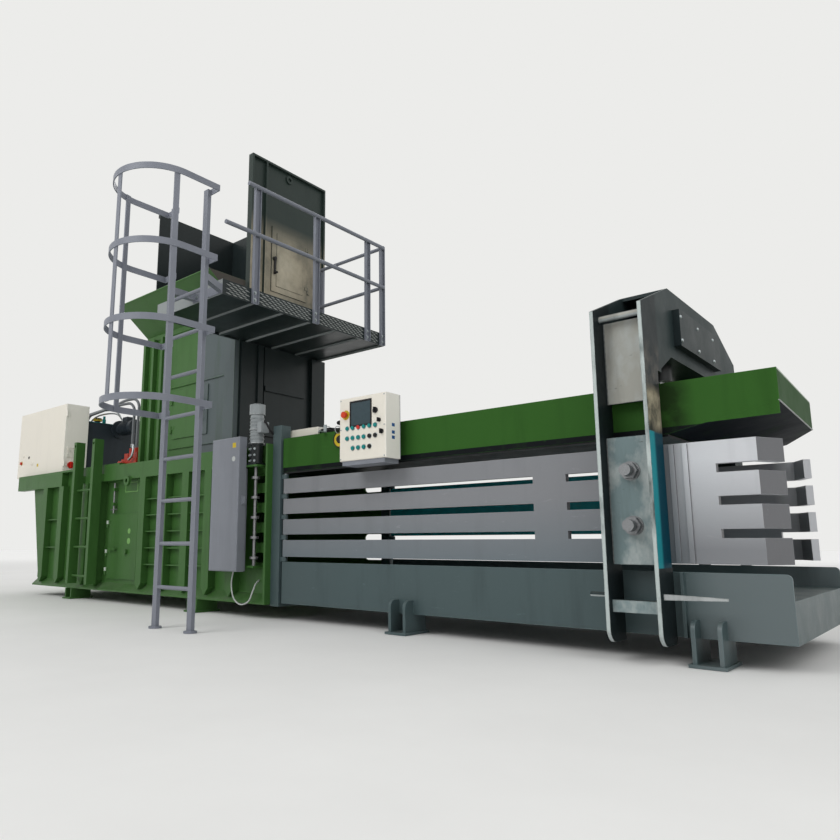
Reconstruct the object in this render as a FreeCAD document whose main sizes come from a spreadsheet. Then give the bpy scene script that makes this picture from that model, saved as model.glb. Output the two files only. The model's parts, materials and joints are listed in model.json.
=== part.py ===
import FreeCAD, Part
import math
import os
import re
import Sketcher

# Channel baler, millimetres, +Z up. Lengths are written from the flange plane, where the press body
# meets the bale channel (X = 0), from the centre plane of the channel (Y = 0) and from the floor
# (Z = 0). FRAME_X and FRAME_Y then carry that datum so that the part's own origin lies under the
# middle of the whole machine. The side with the ladder and the panels is the near side, towards -Y.

os.makedirs("parts", exist_ok=True)
doc = FreeCAD.newDocument("RecyclingBaler")
sheet = doc.addObject("Spreadsheet::Sheet", "Dimensions")

DIMENSIONS = {
    # how far a cutting tool passes the face that it opens
    "cut_over": 1,
    # bale channel
    "channel_half": 690, "tray_start": 20, "tray_length": 3450, "tray_bottom": 125,
    "tray_floor": 320, "tray_top": 440, "tray_plate": 15, "tray_corner": 25, "first_bearer": 200,
    "skirt_bar_back": 120, "skirt_bar_depth": 25,
    # squeezed side walls
    "wall_thick": 40, "wall_bottom": 480, "wall_top": 1085, "wall_straight": 3376,
    "tip_reach": 84, "tip_turn": 150, "slot_first": 628, "slot_pitch": 160, "slot_height": 44,
    "slot_count": 3, "long_slot_end": 2195, "mid_slot_start": 2400, "mid_slot_end": 2700,
    "finger_slot_start": 3190, "pin_x": 30, "pin_radius": 12, "pin_play": 0.3, "lug_height": 34,
    "lug_gap": 3, "pin_head": 5, "wall_bar": 12, "wall_bar_x": 2975, "wall_bar_pitch": 65,
    "wall_bar_margin": 5, "far_wall_short": 60, "slot_over": 60,
    # top beam
    "beam_start": 12, "beam_reach": 3490, "beam_bottom": 1140, "beam_height": 270,
    "beam_skin": 15, "platen_thick": 12, "beam_chamfer_x": 190, "beam_chamfer_y": 290,
    "beam_pin_x": 45, "beam_pin_z": 1465, "beam_pin_radius": 20, "beam_lug_y": 300,
    "beam_lug_thick": 30, "lug_play": 2, "beam_rise_x": 2980, "beam_rise": 110, "beam_skew": 40,
    "beam_eye_half": 35, "platen_inset": 8,
    # squeeze portal
    "portal_x": 2675, "portal_pitch": 255, "portal_plate": 20, "portal_half": 890,
    "portal_foot": 90, "portal_foot_round": 70, "leg_notch": 20, "opening_shoulder": 100,
    "portal_shoulder": 1815, "portal_crown": 2005, "crown_half": 450, "portal_side_play": 10,
    "leg_inner_half": 643, "leg_step": 1480, "opening_top": 1600, "opening_chamfer": 180,
    "web_y": 805, "web_thick": 20, "web_bottom": 475, "web_top": 1130, "upper_web_y": 760,
    "upper_web_bottom": 1318, "upper_web_top": 1770, "tie_size": 60, "tie_bottom": 240,
    "tie_inset": 40, "round_tie": 18, "round_tie_inset": 85, "round_tie_drop": 30,
    "stud_radius": 30, "stud_reach": 84, "nut_height": 30, "nut_flats": 80, "washer_radius": 50,
    "washer_thick": 6, "nut_low": 670, "nut_pitch": 280, "jack_radius": 62, "jack_length": 55,
    "jack_rod_radius": 28, "jack_play": 3, "jack_base": 5, "jack_gap": 2, "top_jack_case": 90,
    "rod_entry": 55, "rod_foot_radius": 20, "rod_foot_height": 15, "top_jack_y": 260,
    "top_jack_radius": 70, "top_jack_rod": 35, "rod_play": 0.3, "rod_foot_play": 0.5,
    "bar_radius": 12, "bar_z": 325, "bar_start": 2590, "bar_inset": 30, "blade_end": 3240,
    "blade_root": 15, "blade_tip": 6, "blade_thick": 8, "plaque_half": 395, "plaque_bottom": 1675,
    "plaque_height": 217, "plaque_thick": 40, "plaque_round": 6,
    # supporting feet
    "foot_width": 170, "foot_depth": 260, "foot_plate": 15, "foot_rise": 215, "foot_gusset": 20,
    "foot_out": 110, "foot_margin": 20, "gusset_inset": 25, "gusset_round": 45, "anchor_edge": 45,
    "outlet_foot_x": 3110, "middle_foot_x": 1235, "front_foot_x": -1027, "rear_foot_x": -3290,
    "anchor_radius": 11, "anchor_pitch": 100,
    # flange frame between body and channel
    "flange_thick": 95, "flange_bottom": 100, "flange_height": 1420, "flange_head": 1400,
    "flange_post": 100, "flange_eye_back": 80, "flange_eye_lean": 10, "eye_clear": 20,
    # press body
    "body_length": 4560, "body_foot_length": 4230, "body_bottom": 110, "body_top": 1375,
    "body_skin": 15, "post_width": 100, "post_depth": 75, "post_tip": 60, "rail_bottom": 1220,
    "deck_overhang": 260, "rail_break": 3650, "rail_restart": 3200, "rail_end": 420,
    "rib_thick": 10, "rib_depth": 50, "rib_first": 380, "rib_pitch": 155, "ledge_depth": 70,
    "ledge_rise": 80, "ledge_lip": 15, "end_flange": 20, "deck_lap": 50, "inner_bearer_x": -2150,
    "front_bearer_x": -200, "rear_opening": 180, "bulkhead_x": 4150, "roof_z": 1235,
    "roof_thick": 20, "chute_back": 2350, "chute_front": 800, "eye_x": 2206, "eye_radius": 50,
    "eye_hole": 22, "eye_thick": 25, "eye_drop": 20,
    # needle slots in the body side
    "needle_x": 210, "needle_slot_length": 150, "needle_slot_width": 80,
    # ram and main cylinder
    "ram_front": 2400, "ram_length": 1700, "ram_play": 8, "ram_skid": 0.5, "ram_plate": 60,
    "ram_skin": 20, "groove_depth": 24, "groove_half": 15, "barrel_radius": 150,
    "barrel_bore": 125, "barrel_end": 4900, "barrel_front": 2560, "rod_radius": 70,
    "cylinder_z": 720, "cylinder_flange": 240, "flange_plate": 40, "barrel_base": 40,
    "gland_length": 70, "gland_lap": 20, "piston_length": 120, "piston_back": 50,
    # access door
    "door_left": 2650, "door_right": 2100, "door_bottom": 230, "door_top": 875, "door_thick": 12,
    "door_lap": 30, "door_play": 0.5, "hinge_radius": 14, "hinge_length": 70,
    "door_hinge_x": 2670, "leaf_thick": 6, "door_leaf_thick": 4, "leaf_lap": 30,
    "door_hinge_low": 40, "door_hinge_mid": 220, "door_hinge_high": 130, "handle_inset": 60,
    "handle_rise": 285, "handle_length": 130, "handle_width": 12, "handle_height": 22,
    "handle_stand": 30, "neck_inset": 90, "neck_width": 20, "neck_height": 16, "knob_inset": 180,
    "knob_rise": 270, "knob_radius": 26, "knob_length": 25, "bolt_radius": 10, "bolt_length": 330,
    "bolt_inset": 110, "bolt_gap": 8, "bolt_lift": 12, "bolt_top": 8, "bolt_arm": 7,
    "bolt_arm_half": 60, "bolt_arm_rise": 50, "guide_low": 90, "guide_high": 240,
    "guide_half": 22, "guide_front": 18, "guide_height": 30,
    # green ladder on the body
    "step_left": 3120, "step_pitch_x": 400, "step_y": 890, "step_stile": 50, "step_deep": 100,
    "step_bottom": 170, "step_top": 1660, "step_first": 250, "step_rise": 296, "step_count": 4,
    "step_bar": 12, "step_arm": 80, "step_hole": 16, "step_hole_drop": 45,
    # electrical cabinet
    "cabinet_inset": 740, "cabinet_length": 1250, "cabinet_depth": 280, "cabinet_height": 820,
    "cabinet_skin": 12, "cabinet_door_thick": 20, "switch_radius": 38, "cabinet_button": 18,
    "cabinet_pin": 8, "cabinet_gap": 1, "cabinet_hinge_edge": 80, "switch_back": 90,
    "switch_rise": 95, "switch_stem": 10, "switch_disc": 14, "switch_grip": 40,
    "switch_grip_half": 9, "grille_half": 50, "grille_rise": 190, "grille_pitch": 26,
    "grille_slat": 12, "grille_proud": 8, "grille_count": 5, "socket_back": 95, "socket_drop": 10,
    "socket_radius": 24, "socket_length": 45, "door_round": 5, "stop_side": 110, "stop_rise": 190,
    "stop_cap": 14, "stop_stem": 8, "stem_depth": 18, "lock_side": 55, "lock_rise": 90,
    "lock_radius": 16, "lock_proud": 14, "knob_side": 310, "knob_drop": 25,
    # hydraulic unit
    "tank_inset": 700, "tank_length": 900, "tank_near": 395, "tank_width": 690,
    "tank_height": 650, "lid_thick": 12, "filler_side": 160, "filler_back": 200,
    "filler_radius": 30, "filler_neck": 45, "cap_radius": 48, "cap_height": 35, "sight_far": 130,
    "sight_rise": 180, "sight_radius": 90, "sight_thick": 10, "motor_radius": 88,
    "motor_length": 380, "motor_z": 1990, "motor_y": 20, "bell_rim": 25, "bell_plate": 20,
    "bell_length": 70, "fin_depth": 8, "fin_thick": 10, "fin_pitch": 32, "fin_count": 6,
    "cowl_length": 70, "terminal_start": 150, "terminal_length": 110, "terminal_width": 100,
    "terminal_height": 60, "block_run": 710, "block_length": 320, "block_near": 330,
    "block_width": 180, "block_height": 260, "valve_count": 3, "valve_margin": 20,
    "valve_gap": 14, "coil_radius": 30, "nose_radius": 45, "nose_length": 60, "pipe_radius": 28,
    "pipe_rise": 70, "pipe_rim": 18, "pipe_joint": 330, "hose_radius": 16, "hose_rise": 250,
    "hose_arch": 150, "hose_spread": 60, "hose_lean": 40, "hose_reach": 560, "hose_end": 400,
    "hose_end_pitch": 70,
    # feed chute
    "tower_half": 540, "tower_skin": 12, "tower_top": 2740, "chute_rib": 50,
    "chute_rib_pitch": 160, "chute_rib_width": 40, "seam_low": 100, "seam_high": 42,
    "seam_depth": 14, "seam_width": 12, "grip_edge": 70, "grip_stand": 34, "grip_low": 120,
    "grip_radius": 9, "grip_length": 240, "grip_post": 7, "grip_post_inset": 20,
    "rear_rib_y": 360, "far_rib_first": 200, "far_rib_pitch": 370, "far_rib_count": 4,
    "panel_band": 50, "panel_start": -240, "panel_width": 510, "panel_band_low": 330,
    "panel_band_high": 760, "chute_door_left": 1800, "chute_door_right": 1230,
    "chute_door_bottom": 1600, "chute_door_top": 2080, "door_hinge_out": 20,
    "chute_hinge_low": 60, "column_width": 150, "column_depth": 40, "lip_flare": 350,
    "lip_rise": 280, "lip_skin": 8, "lip_flange": 50, "cheek_back": 60, "hood_top": 4200,
    "hood_skin": 10, "brim_width": 25, "brim_height": 40, "panel_rib": 30, "panel_rib_width": 20,
    "panel_rib_in": 175, "panel_rib_low": 30, "ring_y": 30, "ring_drop": 80, "ring_radius": 42,
    "ring_hole": 20, "ring_thick": 14, "panel_top": 4320, "panel_near": 465, "panel_far": 528,
    "panel_skin": 12, "hatch_near": 185, "hatch_far": 290, "hatch_bottom": 3000,
    "hatch_top": 3670, "hatch_thick": 10, "hatch_hinge": 10, "hatch_hinge_edge": 90,
    "field_inset": 60, "field_thick": 4, "boss_radius": 20, "boss_height": 10, "lever_side": 30,
    "lever_length": 160, "lever_hub": 18, "lever_hub_depth": 14, "lever_thick": 10,
    "lever_half": 9, "lever_knob": 12, "lever_knob_length": 40,
    # platform and guard rail
    "deck_reach": 880, "deck_near": 1390, "deck_far": 490, "deck_bottom": 2420,
    "deck_height": 120, "deck_plate": 8, "deck_pitch": 310, "deck_bearer": 40,
    "deck_bearer_height": 20, "toe_thick": 8, "upright_width": 60, "upright_depth": 25,
    "upright_skin": 5, "top_rail_z": 3390, "mid_rail_z": 2990, "rail_radius": 17,
    "rail_elbow": 20, "rail_out": 20, "rail_top_near": 1184, "rail_mid_near": 1396,
    "upright_near": 1085, "upright_mid": 424, "upright_gap": 240, "upright_corner": 452,
    "upright_back": 60,
    # caged ladder
    "ladder_x": -50, "ladder_half": 210, "ladder_y": 1610, "stile_w": 50, "stile_d": 30,
    "ladder_top": 3130, "rung_first": 280, "rung_rise": 300, "rung_count": 8, "rung_radius": 14,
    "disc_radius": 45, "disc_thick": 12, "arm_rise": 20, "arm_height": 50, "tie_rise": 10,
    "tie_height": 70, "cage_half": 328, "cage_front": 2194, "hoop_height": 45, "hoop_thick": 8,
    "hoop_low": 1518, "hoop_pitch": 533, "hoop_count": 4, "cage_bar": 40, "strap_lap": 1,
    # tying unit
    "tying_x": 660, "tying_width": 360, "tying_front": 890, "tying_box": 80, "tying_bottom": 360,
    "tying_height": 1080, "knot_start": 650, "knot_width": 310, "knot_top": 1190,
    "shaft_radius": 14, "hook_radius": 35, "hook_height": 20, "gear_x": 250, "gear_y": 750,
    "gear_z": 1210, "gear_radius": 55, "gear_height": 500, "gear_base": 15, "gear_case": 150,
    "gear_ring": 18, "gear_ring_rim": 10, "gear_motor": 250, "gear_fin_first": 210,
    "gear_fin_pitch": 28, "gear_fin": 9, "gear_fin_rim": 5, "gear_fin_count": 7, "gear_cowl": 80,
    "gear_box_rise": 260, "gear_box_depth": 55, "gear_box_lap": 8, "gear_box_half": 40,
    "gear_box_height": 90, "shelf_margin": 3, "shelf_half": 80, "step_half": 40, "step_lift": 30,
    "hook_notch": 10, "hook_notch_out": 19, "cover_skin": 4, "cover_round": 12, "cover_play": 1,
    "cover_hinge_low": 100, "cover_hinge_high": 160, "cover_strip_lift": 3,
    "cover_strip_drop": 10, "latch_rise": 530, "latch_proud": 12, "latch_width": 34,
    "latch_back": 6, "latch_height": 70, "latch_handle": 8, "latch_handle_height": 50,
    "box_near": 590, "box_width": 160, "box_left": -90, "box_gap": 2, "box_right": 300,
    "box_step": 25, "box_height": 90,
    # control panel
    "desk_x": 840, "desk_width": 420, "desk_y": 910, "desk_depth": 150, "desk_bottom": 1140,
    "desk_height": 440, "key_radius": 13, "key_travel": 5, "key_pitch": 50, "key_row": 70,
    "key_left": 65, "key_bottom": 75, "screen_width": 176, "screen_height": 158,
    "screen_left": 110, "screen_low": 242, "stop_radius": 22, "desk_skin": 15, "key_pocket": 12,
    "key_proud": 9, "key_margin": 10, "key_gap": 1, "stop_x": 60, "stop_z": 322, "stop_hole": 8,
    "stop_cap_height": 16, "stop_collar": 8, "stop_collar_radius": 15, "mode_x": 332,
    "mode_z": 325, "mode_radius": 20, "lock_x": 365, "lock_z": 255, "lock_knob": 14,
    "select_x": 386, "select_z": 176, "select_radius": 16, "knob_hole": 7, "knob_plate": 10,
    "knob_grip": 24, "knob_grip_half": 4, "screen_depth": 4, "screen_proud": 2, "desk_back": 6,
    "arm_x": 60, "desk_arm_rise": 20, "arm_length": 300, "desk_arm_height": 140,
    "desk_shelf_x": 20, "desk_shelf": 30, "desk_shelf_y": 10, "desk_shelf_gap": 4,
    "cable_radius": 12, "cable_y": 560, "cable_rise": 40, "cable_turn": 140, "cable_drop": 80,
    "cable_lean": 5, "cable_corner": 30,
}

for row, (alias, length) in enumerate(DIMENSIONS.items(), start=1):
    sheet.set(f"A{row}", alias)
    sheet.set(f"B{row}", str(length))
    sheet.setAlias(f"B{row}", alias)
doc.recompute()

# Lengths that follow from others: the deck overhangs the body's rear, the cabinet and the tank keep
# their distance from the body's rear edge, and the valve block stands off the tank by its pipe.
FOLLOWING = {
    "rail_reach": "(body_length + deck_overhang)",
    "cabinet_start": "(body_length - cabinet_inset)",
    "tank_start": "(body_length - tank_inset)",
    "block_start": "(body_length - tank_inset - block_run)",
    "jack_x": "(portal_x + (portal_pitch + portal_plate) / 2)",
}

# The middle of the whole machine, measured from the flange plane and the channel's centre plane.
FRAME_X = "(cabinet_start + cabinet_length - beam_reach) / 2"
FRAME_Y = "(cage_front - portal_half) / 2"

nodes = {}


def bound(text):
    """Write a length so that its names point at the cells of the sheet."""
    def cell(word):
        name = word.group()
        if name in FOLLOWING:
            return bound(FOLLOWING[name])
        return "Dimensions." + name if name in DIMENSIONS else name
    return re.sub(r"[a-z][a-z_0-9]*", cell, str(text))


def size(text):
    """The present value of a length, for the few places that need a number."""
    return float(sheet.evalExpression(bound(text)))


def move(obj, x, y, z):
    """Bind where an object stands, from the flange plane, the centre plane and the floor."""
    obj.setExpression("Placement.Base.x", bound(f"({x}) + {FRAME_X}"))
    obj.setExpression("Placement.Base.y", bound(f"({y}) + {FRAME_Y}"))
    obj.setExpression("Placement.Base.z", bound(z))


def box(name, x, y, z, length, width, height):
    """A flat plate or square bar, from its lowest corner."""
    obj = doc.addObject("Part::Box", name)
    for side, text in (("Length", length), ("Width", width), ("Height", height)):
        obj.setExpression(side, bound(text))
    move(obj, x, y, z)
    return obj


TURNS = {"x": FreeCAD.Rotation(FreeCAD.Vector(0, 1, 0), 90),
         "y": FreeCAD.Rotation(FreeCAD.Vector(1, 0, 0), -90),
         "z": FreeCAD.Rotation()}


def rod(name, along, x, y, z, radius, length):
    """A round bar that starts at a point and runs towards +x, +y or +z."""
    obj = doc.addObject("Part::Cylinder", name)
    obj.setExpression("Radius", bound(radius))
    obj.setExpression("Height", bound(length))
    obj.Placement = FreeCAD.Placement(FreeCAD.Vector(), TURNS[along])
    move(obj, x, y, z)
    return obj


def hexagon(name, along, x, y, z, flats, length):
    """A hexagon bar, as a nut's outside."""
    obj = doc.addObject("Part::Prism", name)
    obj.Polygon = 6
    obj.setExpression("Circumradius", bound(f"({flats}) / sqrt(3)"))
    obj.setExpression("Height", bound(length))
    obj.Placement = FreeCAD.Placement(FreeCAD.Vector(), TURNS[along])
    move(obj, x, y, z)
    return obj


def cone(name, x, y, z, low_radius, high_radius, height):
    obj = doc.addObject("Part::Cone", name)
    obj.setExpression("Radius1", bound(low_radius))
    obj.setExpression("Radius2", bound(high_radius))
    obj.setExpression("Height", bound(height))
    move(obj, x, y, z)
    return obj


def ball(name, x, y, z, radius):
    obj = doc.addObject("Part::Sphere", name)
    obj.setExpression("Radius", bound(radius))
    move(obj, x, y, z)
    return obj


def draw_loop(sketch, corners):
    """Closed run of straight lines whose corners are bound to the sheet."""
    first = sketch.GeometryCount
    count = len(corners)
    spots = [FreeCAD.Vector(size(u), size(v), 0) for u, v in corners]
    for i in range(count):
        sketch.addGeometry(Part.LineSegment(spots[i], spots[(i + 1) % count]))
    for i in range(count):
        following = first + (i + 1) % count
        sketch.addConstraint(Sketcher.Constraint("Coincident", first + i, 2, following, 1))
    for i, corner in enumerate(corners):
        for kind, text in zip(("DistanceX", "DistanceY"), corner):
            rule = Sketcher.Constraint(kind, -1, 1, first + i, 1, size(text))
            index = sketch.addConstraint(rule)
            sketch.setExpression(f"Constraints[{index}]", bound(text))


def draw_circle(sketch, u, v, radius):
    centre = FreeCAD.Vector(size(u), size(v), 0)
    edge = sketch.addGeometry(Part.Circle(centre, FreeCAD.Vector(0, 0, 1), size(radius)))
    for kind, text in (("DistanceX", u), ("DistanceY", v)):
        index = sketch.addConstraint(Sketcher.Constraint(kind, -1, 1, edge, 3, size(text)))
        sketch.setExpression(f"Constraints[{index}]", bound(text))
    index = sketch.addConstraint(Sketcher.Constraint("Radius", edge, size(radius)))
    sketch.setExpression(f"Constraints[{index}]", bound(radius))


def slab(name, plane, corners, start, thickness, windows=(), holes=()):
    """A plate cut to an outline in one of the main planes: it begins at start and grows towards
    the positive side. Windows are further outlines cut out of it, and holes are u, v, radius."""
    body = doc.addObject("PartDesign::Body", name)
    sketch = body.newObject("Sketcher::SketchObject", name + "_outline")
    side = [part for part in body.Origin.OriginFeatures if part.Role == plane + "_Plane"][0]
    sketch.AttachmentSupport = (side, [""])
    sketch.MapMode = "FlatFace"
    depth = f"-({start}) - ({thickness})" if plane == "XZ" else start
    sketch.setExpression("AttachmentOffset.Base.z", bound(depth))
    draw_loop(sketch, corners)
    for window in windows:
        draw_loop(sketch, window)
    for hole in holes:
        draw_circle(sketch, *hole)
    pad = body.newObject("PartDesign::Pad", name + "_pad")
    pad.Profile = sketch
    pad.setExpression("Length", bound(thickness))
    move(body, 0, 0, 0)
    return body


def fuse(name, parts):
    """Pieces welded into one, or like pieces kept together."""
    obj = doc.addObject("Part::MultiFuse", name)
    obj.Shapes = parts
    obj.Refine = True
    return obj


def cut(name, base, tools):
    """Take the tools away from the base."""
    obj = doc.addObject("Part::Cut", name)
    obj.Base = base
    obj.Tool = tools[0] if len(tools) == 1 else fuse(name + "_tools", tools)
    obj.Refine = True
    return obj


def across(name, source):
    """The same piece on the other side of the channel's centre plane."""
    obj = doc.addObject("Part::Mirroring", name)
    obj.Source = source
    obj.Normal = FreeCAD.Vector(0, 1, 0)
    obj.setExpression("Base.y", bound(FRAME_Y))
    return obj


def round_edges(name, base, radius, wanted):
    """Round the edges whose direction and middle the test accepts."""
    doc.recompute()
    picked = []
    for index, edge in enumerate(base.Shape.Edges, start=1):
        middle = edge.CenterOfMass - FreeCAD.Vector(size(FRAME_X), size(FRAME_Y), 0)
        if len(edge.Vertexes) == 2 and wanted(edge.tangentAt(edge.FirstParameter), middle):
            picked.append((index, size(radius), size(radius)))
    obj = doc.addObject("Part::Fillet", name)
    obj.Base = base
    obj.Edges = picked
    return obj


def tube(name, points, radius, spread=0.45):
    """A bent round tube along straight runs that arcs join, through points given as lengths."""
    spots = [FreeCAD.Vector(*[size(text) for text in point]) for point in points]
    edges = []
    last = spots[0]
    for before, corner, after in zip(spots, spots[1:], spots[2:]):
        back = (before - corner).normalize()
        ahead = (after - corner).normalize()
        reach = spread * min((before - corner).Length, (after - corner).Length)
        enter = corner + back * reach
        leave = corner + ahead * reach
        half_turn = (math.pi - back.getAngle(ahead)) / 2
        bend = reach / math.tan(half_turn)
        middle = corner + (back + ahead).normalize() * (bend / math.cos(half_turn) - bend)
        edges.append(Part.LineSegment(last, enter).toShape())
        edges.append(Part.Arc(enter, middle, leave).toShape())
        last = leave
    edges.append(Part.LineSegment(last, spots[-1]).toShape())
    start = Part.Wire([Part.Circle(spots[0], spots[1] - spots[0], size(radius)).toShape()])
    obj = doc.addObject("Part::Feature", name)
    obj.Shape = Part.Wire(edges).makePipeShell([start], True, False)
    move(obj, 0, 0, 0)
    return obj


def node(name, obj):
    """Give a finished piece the name under which it is kept."""
    obj.Label = name
    nodes[name] = obj
    return obj


def slot_centre(index):
    return f"slot_first + {index} * slot_pitch"


WIRE_LINES = range(-1, int(size("slot_count")) + 1)


# ---- Feet -------------------------------------------------------------------------------------

def foot(name, x, top, rise):
    """A base plate with anchor holes and two gussets, which may rise beside the skirt."""
    front = "channel_half + foot_out"
    base = box(name + "_plate", f"{x} - foot_width / 2", f"-({front})", 0,
               "foot_width", "foot_depth", "foot_plate")
    anchors = [rod(f"{name}_anchor_{i}", "z", f"{x} + {i} * anchor_pitch / 2",
                   f"-({front}) + anchor_edge", 0, "anchor_radius", "foot_plate")
               for i in (-1, 1)]
    outer = f"-({front}) + foot_margin"
    inner = f"-({front}) + foot_depth - foot_margin"
    outline = [(outer, "foot_plate"), (inner, "foot_plate"), (inner, top)]
    if rise == top:
        outline += [(outer, top)]
    else:
        outline += [("-channel_half", top), ("-channel_half", rise), (outer, rise)]
    gussets = [slab(f"{name}_gusset_{i}", "YZ", outline,
                    f"{x} + {i} * (foot_width / 2 - gusset_inset) - foot_gusset / 2", "foot_gusset")
               for i in (-1, 1)]
    if rise != top:
        gussets = [round_edges(f"{name}_gusset_round_{i}", gusset, "gusset_round",
                               lambda way, middle: abs(way.x) > 0.9 and middle.z > size(rise) - 1
                               and middle.y < size(outer) + 1)
                   for i, gusset in enumerate(gussets)]
    return [cut(name + "_base", base, anchors)] + gussets


def both_feet(name, x, top, rise):
    near = foot(name, x, top, rise)
    return near + [across(f"{name}_far_{i}", part) for i, part in enumerate(near)]


# ---- Bale channel -----------------------------------------------------------------------------

def channel_tray():
    end = "tray_start + tray_length"
    skirt = slab("skirt", "XZ", [("tray_start", "tray_bottom"), (end, "tray_bottom"),
                                 (end, "tray_top"), ("tray_start", "tray_top")],
                 "-channel_half", "tray_plate")
    skirt = round_edges("skirt_round", skirt, "tray_corner",
                        lambda way, middle: abs(way.y) > 0.9 and middle.x > size(end) - 1
                        and middle.z > size("tray_top") - 1)
    stiffener = box("skirt_bar", "outlet_foot_x - skirt_bar_back", "-channel_half - skirt_bar_depth",
                    "tray_bottom", "tray_plate", "skirt_bar_depth", "tray_top - tray_bottom")
    inside = "channel_half - tray_plate"
    floor = box("channel_floor", "tray_start", f"-({inside})", "tray_floor - tray_plate",
                "tray_length", f"2 * ({inside})", "tray_plate")
    bearers = [box(f"bearer_{i}", f"{x} - tray_plate", f"-({inside})", "tray_bottom",
                   "2 * tray_plate", f"2 * ({inside})", "tray_floor - tray_plate - tray_bottom")
               for i, x in enumerate(("tray_start + first_bearer", "middle_foot_x", "portal_x",
                                      "outlet_foot_x", f"{end} - tray_plate"))]
    parts = [skirt, across("skirt_far", skirt), stiffener, across("skirt_bar_far", stiffener)]
    parts += [floor] + bearers
    parts += both_feet("outlet_foot", "outlet_foot_x", "tray_bottom", "foot_rise")
    parts += both_feet("middle_foot", "middle_foot_x", "tray_bottom", "foot_rise")
    return fuse("tray_weld", parts)


def squeeze_wall(name, straight):
    """A slatted wall. Its left end is rolled round the hinge pin, its right end turns inwards."""
    outer = "-channel_half"
    inner = "-channel_half + wall_thick"
    tip = f"{straight} + tip_reach"
    slant = "sqrt(tip_reach ^ 2 + tip_turn ^ 2)"
    plan = [("pin_x", outer), (straight, outer), (tip, f"{outer} + tip_turn"),
            (f"{tip} - wall_thick * tip_turn / {slant}",
             f"{outer} + tip_turn + wall_thick * tip_reach / {slant}"),
            (f"{straight} - wall_thick * ({slant} - tip_reach) / tip_turn", inner),
            ("pin_x", inner)]
    height = "wall_top - wall_bottom"
    body = slab(name + "_plan", "XY", plan, "wall_bottom", height)
    knuckle = rod(name + "_knuckle", "z", "pin_x", f"{outer} + wall_thick / 2", "wall_bottom",
                  "wall_thick / 2", height)
    bars = [box(f"{name}_bar_{i}", f"wall_bar_x + {i} * wall_bar_pitch", f"{outer} - wall_bar",
                "wall_bottom + wall_bar_margin", "2 * wall_bar", "wall_bar",
                f"{height} - 2 * wall_bar_margin") for i in (0, 1)]
    base = "web_thick + jack_base + jack_gap"
    rods = [rod(f"{name}_jack_rod_{i}", "y", "jack_x", f"-web_y + {base}",
                f"nut_low + {i} * nut_pitch", "jack_rod_radius",
                f"web_y - ({base}) - channel_half") for i in (0, 1)]
    bore = rod(name + "_bore", "z", "pin_x", f"{outer} + wall_thick / 2", "wall_bottom - cut_over",
               "pin_radius + pin_play", f"{height} + 2 * cut_over")
    slots = []
    runs = (("-slot_over", "long_slot_end"), ("mid_slot_start", "mid_slot_end"),
            ("finger_slot_start", f"{tip} + slot_over"))
    for index in range(int(size("slot_count"))):
        low = f"{slot_centre(index)} - slot_height / 2"
        for run, (start, end) in enumerate(runs):
            slots.append(box(f"{name}_slot_{index}_{run}", start, f"{outer} - wall_bar - cut_over",
                             low, f"({end}) - ({start})", "tip_turn + 2 * wall_thick",
                             "slot_height"))
    solid = fuse(name + "_solid", [body, knuckle] + bars + rods)
    return cut(name + "_slotted", solid, [bore] + slots)


# ---- Flange frame, hinges and top beam ---------------------------------------------------------

def wall_lugs():
    """Eyes that stand in the wire gaps and carry the walls' hinge pins."""
    middles = [slot_centre(i) for i in range(int(size("slot_count")))]
    middles.insert(0, "wall_bottom - lug_gap - lug_height / 2")
    middles.append("wall_top + lug_gap + lug_height / 2")
    lugs = []
    for i, middle in enumerate(middles):
        low = f"{middle} - lug_height / 2"
        arm = box(f"lug_arm_{i}", "-cut_over", "-channel_half", low, "pin_x + cut_over",
                  "wall_thick", "lug_height")
        eye = rod(f"lug_eye_{i}", "z", "pin_x", "-channel_half + wall_thick / 2", low,
                  "wall_thick / 2", "lug_height")
        bore = rod(f"lug_bore_{i}", "z", "pin_x", "-channel_half + wall_thick / 2",
                   f"{low} - cut_over", "pin_radius + pin_play", "lug_height + 2 * cut_over")
        lugs.append(cut(f"lug_{i}", fuse(f"lug_solid_{i}", [arm, eye]), [bore]))
    return lugs


def beam_eye(name, start, thickness, root, bore):
    """A plate with the beam's pivot hole, standing on the beam or on the flange frame."""
    top = "beam_pin_z + beam_eye_half"
    return slab(name, "XZ", root + [("beam_pin_x + beam_eye_half", top), (root[0][0], top)], start,
                thickness, holes=[("beam_pin_x", "beam_pin_z", bore)] if bore else ())


def flange_frame():
    outer = "channel_half + tray_plate"
    inner = "channel_half - wall_thick"
    post = f"{outer} - flange_post"
    top = "flange_bottom + flange_height"
    outline = [(f"-({outer})", "flange_bottom"), (outer, "flange_bottom"), (outer, top),
               (post, top), (post, "flange_head"), (f"-({post})", "flange_head"),
               (f"-({post})", top), (f"-({outer})", top)]
    window = [(f"-({inner})", "tray_floor"), (inner, "tray_floor"),
              (inner, "beam_bottom - platen_thick"), (f"-({inner})", "beam_bottom - platen_thick")]
    ring = slab("flange_ring", "YZ", outline, "-flange_thick", "flange_thick", windows=[window])
    clear = "beam_bottom + beam_height + eye_clear"
    root = [("-flange_eye_back", "flange_head"), ("0", "flange_head"), ("flange_eye_lean", clear),
            ("beam_pin_x + beam_eye_half", clear)]
    side = "beam_lug_y + beam_lug_thick / 2 + lug_play"
    eye = beam_eye("flange_eye", f"-({side}) - beam_lug_thick", "beam_lug_thick", root, None)
    pin = rod("beam_pin", "y", "beam_pin_x", f"-({side})", "beam_pin_z", "beam_pin_radius",
              "beam_lug_thick + 2 * lug_play")
    near = wall_lugs() + [eye, pin]
    far = [across(f"flange_far_{i}", part) for i, part in enumerate(near)]
    return fuse("flange_weld", [ring] + near + far)


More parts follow.
